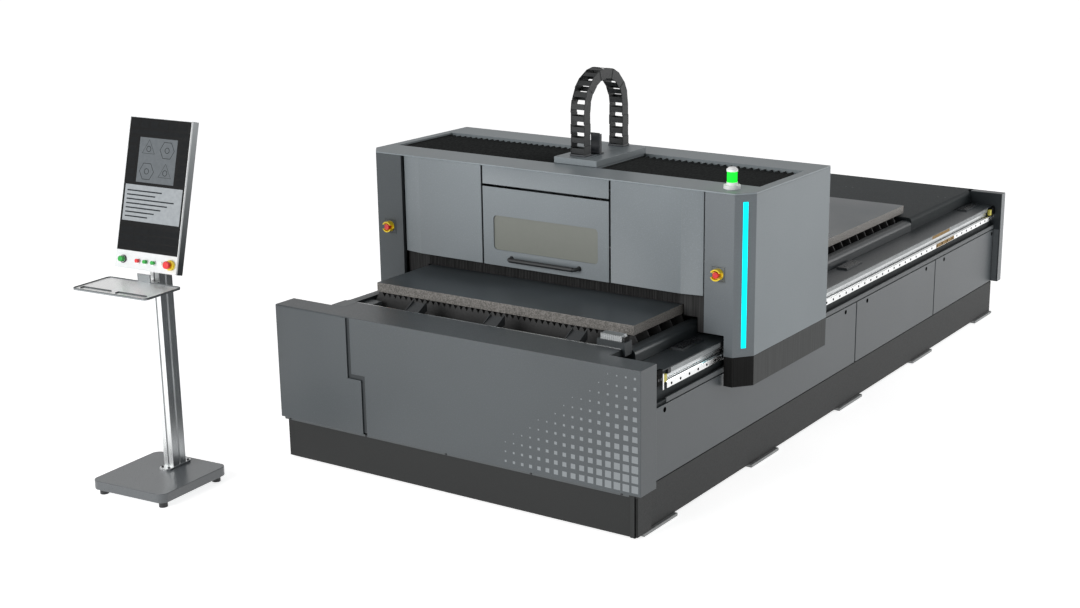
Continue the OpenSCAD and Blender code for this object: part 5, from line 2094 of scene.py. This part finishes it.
def make_finishes(place: Vector, turn: Euler) -> Workshop:
    """Builds every finish of the machine.

    Args:
        place: origin of the console head's frame.
        turn: turn of the console head's frame.

    Returns:
        The workshop that holds them.
    """
    plans = {
        # Painted light: dark-painted faces that look along X are paler.
        Slot.DARK_PAINT: PowderCoat("plinth_coat", "#222323", 1.5, 0.65, shine=0.3, side="#303131"),
        Slot.BED_PAINT: PowderCoat("bed_coat", "#43484b", 1.6, 0.36),
        Slot.DECK_PAINT: PowderCoat("deck_coat", "#2c3134", 1.5, 0.36, shine=0.45),
        Slot.GANTRY_PAINT: PowderCoat("gantry_coat", "#777e82", 1.35, 0.46),
        Slot.MACHINED: BrushedMetal("ground_steel", "#f4f5f5", (900.0, 4.0, 900.0), 0.16, 1.0),
        Slot.SLAT: BrushedMetal("scaled_slats", "#4a4a4a", (60.0, 60.0, 60.0), 0.6, 0.3),
        Slot.SHEET: MillScale("rolled_plate", "#4d5357", "#8a8783"),
        Slot.BLACK_PAINT: PowderCoat("black_coat", "#1b1d1f", 1.8, 0.45),
        Slot.YELLOW: Moulded("yellow_guard", "#f0d01a"),
        Slot.RED: Moulded("red_button", "#d92226"),
        Slot.GREEN: Moulded("green_button", "#0f9f33"),
        Slot.WHITE: Moulded("white_housing", "#fcfdfc"),
        Slot.BRUSH: Fibre("brush_threads", "#262626", "#454545"),
        Slot.BELLOWS: Fibre("pleated_cloth", "#272929", "#3d3f3f", (300.0, 40.0, 300.0)),
        Slot.CHAIN: Moulded("chain_nylon", "#262829", 0.5, 0.0, shine=0.35),
        Slot.GLASS: Moulded("laser_pane", "#73766f", 0.38, 0.0, 0.015, 0.01),
        Slot.LIGHT: Lit("cyan_diffuser", "#10f0fc", 0.85),
        Slot.LENS: Lit("green_beacon", "#24f23c", 0.75),
        Slot.SCREEN: Moulded("screen_black", "#0a0b0c", 0.3, 0.0, shine=0.15),
        # Painted shade: the pole's faces that look along X are darker.
        Slot.PROFILE: BrushedMetal("pole_anodise", "#eef0f0", (700.0, 700.0, 3.0), 0.3, 0.9, side="#adb0b2"),
        Slot.CONSOLE: Layered("console_shell", "#d8dadb", "#2e3234", "#a2a6a8", place, turn, 9 * MM),
        Slot.COPPER: BrushedMetal("turned_copper", "#b8743a", (300.0, 300.0, 900.0), 0.3, 1.0),
    }
    further = {
        "brass": BrushedMetal("joint_brass", "#7d5c00", (900.0, 40.0, 900.0), 0.4, 0.6),
        "socket": Moulded("bolt_socket", "#060606", 0.7, 0.0, shine=0.0),
        "rack": BrushedMetal("rack_steel", "#b2b5b6", (900.0, 4.0, 900.0), 0.28, 0.85),
        "lip": PowderCoat("ledge_coat", "#4b4f51", 1.4, 0.5),
        "joint": PowderCoat("joint_coat", "#23282b", 1.4, 0.5),
        "guide": PowderCoat("guide_coat", "#2a2d2f", 1.5, 0.5),
        "stop": PowderCoat("stop_coat", "#060606", 1.5, 0.6, shine=0.05),
        # Painted shade: the left column in a darker coat than the right.
        "shade": PowderCoat("column_coat", "#4c5154", 1.35, 0.5, shine=0.3),
        # Painted light: the skirts' long sides that look along X are paler.
        "skirt": Fibre("skirt_threads", "#131313", "#232323", flank="#515252"),
        # Painted shade: the tray's rim darker, to draw dark outlines.
        "fold": BrushedMetal("fold_steel", "#5d6163", (600.0, 6.0, 600.0), 0.35, 0.5),
        "tile": PowderCoat("cover_tile_print", "#7a7f82", 1.3, 0.5),
        "comb": BrushedMetal("station_alloy", "#b9bcbd", (500.0, 500.0, 30.0), 0.4),
        # Painted light: the base's top faces are paler.
        "base": PowderCoat("base_gloss", "#4b4f52", 1.4, 0.32, 0.5, side="#606467", axis="Z"),
        # Painted shade and light: the right column's front darker than the gantry, its faces that look along
        # X paler.
        "column": PowderCoat("column_front", "#63696d", 1.35, 0.46, side="#727a7e"),
        # Painted light: the rear cover's faces that look along X are paler.
        "rear": PowderCoat("rear_coat", "#43484b", 1.6, 0.36, side="#63676a"),
        "hood": PowderCoat("hood_coat", "#23282a", 1.5, 0.6, shine=0.2),
        # Painted shade: dark sheet on the rear cover's inner face.
        "liner": PowderCoat("liner_coat", "#272c2f", 1.5, 0.45, shine=0.3),
        # Painted sheen: the top frame and carriage plate paler than the gantry.
        "crown": PowderCoat("top_coat", "#828a8e", 1.35, 0.42),
        # Painted light: paler strip on the lower end of that face.
        "closer": PowderCoat("closer_coat", "#575c5f", 1.5, 0.4),
        "post": PowderCoat("post_coat", "#272828", 1.5, 0.65, shine=0.3),
        "pad": PowderCoat("pad_coat", "#1e2022", 1.4, 0.24),
        "flange": PowderCoat("flange_coat", "#44484a", 1.4, 0.5),
        # Painted light: rim end and shelf plate paler than the rims.
        "rim_end": PowderCoat("rim_coat", "#4f5456", 1.4, 0.36),
        "ground": BrushedMetal("ledge_steel", "#cfd2d3", (900.0, 4.0, 900.0), 0.22, 0.9),
        "floor_plate": BrushedMetal("floor_plate_steel", "#8e9090", (90.0, 90.0, 90.0), 0.5, 0.3),
        "bumper": Moulded("bumper_rubber", "#c2b84c", 0.5, 0.0),
        # Painted sheen: the tray's top faces are white, its other faces darker.
        "tray": BrushedMetal("tray_steel", "#8e9294", (700.0, 700.0, 700.0), 0.32, 1.0, 0.97, "#ffffff", "Z"),
        "seat": PowderCoat("seat_coat", "#33363a", 1.5, 0.45),
        "screen_pale": Lit("screen_pale", "#8d9194", 0.3),
        "screen_mid": Lit("screen_mid", "#5f6366", 0.25),
        "screen_dim": Lit("screen_dim", "#232425", 0.2),
        "screen_line": Lit("screen_line", "#2a2d2f", 0.2),
    }
    owners = {
        "sheet_guides": "guide",
        "rail_stops": "stop",
        "column_cover_left": "shade",
        "column_cover_right": "column",
        "column_skirts": "skirt",
        "rear_cover": "rear",
        "top_frame": "crown",
        "carriage_plate": "crown",
        "rear_deck": "hood",
        "bed_frame": "hood",
        "foot_plates": "floor_plate",
        "stop_bumpers": "bumper",
        "chain_feet": "seat",
        "console_base": "base",
        "console_tray": "tray",
    }
    finishes = {slot: plan.build() for slot, plan in plans.items()}
    extra = {key: plan.build() for key, plan in further.items()}
    return Workshop(finishes, extra, {node: extra[key] for node, key in owners.items()})


def paint_nodes(shop: Workshop) -> None:
    """Puts its slot's finish on every node of the frame.

    Args:
        shop: the workshop with the finishes.
    """
    for name, node in frame["nodes"].items():
        node.data.materials.clear()
        node.data.materials.append(shop.finishes[slot_of(name)])
        node.data.shade_smooth()
        node.data.set_sharp_from_angle(angle=math.radians(35.0))


def main() -> None:
    """Builds the machine's dress in order."""
    logging.basicConfig(level=logging.INFO, format="%(message)s")
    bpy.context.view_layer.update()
    datum = Vector((centre_x(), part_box("front_cover_main")[0].y, 0.0))
    push = next(j for j in frame["joints"] if j["name"] == "console_stop_push")["axis"]
    tilt = math.asin(-push[2])
    yaw = math.atan2(-push[0], push[1])
    turn = Euler((-tilt, 0.0, yaw), "XYZ")
    pole = datum + Vector(POLE_PLACE)
    place = pole + Matrix.Rotation(yaw, 3, "Z") @ Vector(HEAD_PLACE)
    shop = make_finishes(place, turn)
    paint_nodes(shop)
    Studio(datum).build()
    Covers(shop).dress()
    SlatTable(shop).dress()
    RailLine(shop).dress()
    Decks(shop).dress()
    Station(shop).dress()
    Gantry(shop).dress()
    Door(shop).dress()
    Carriage(shop).dress()
    Console(shop, place, turn, pole).dress()


if __name__ == "__main__":
    main()
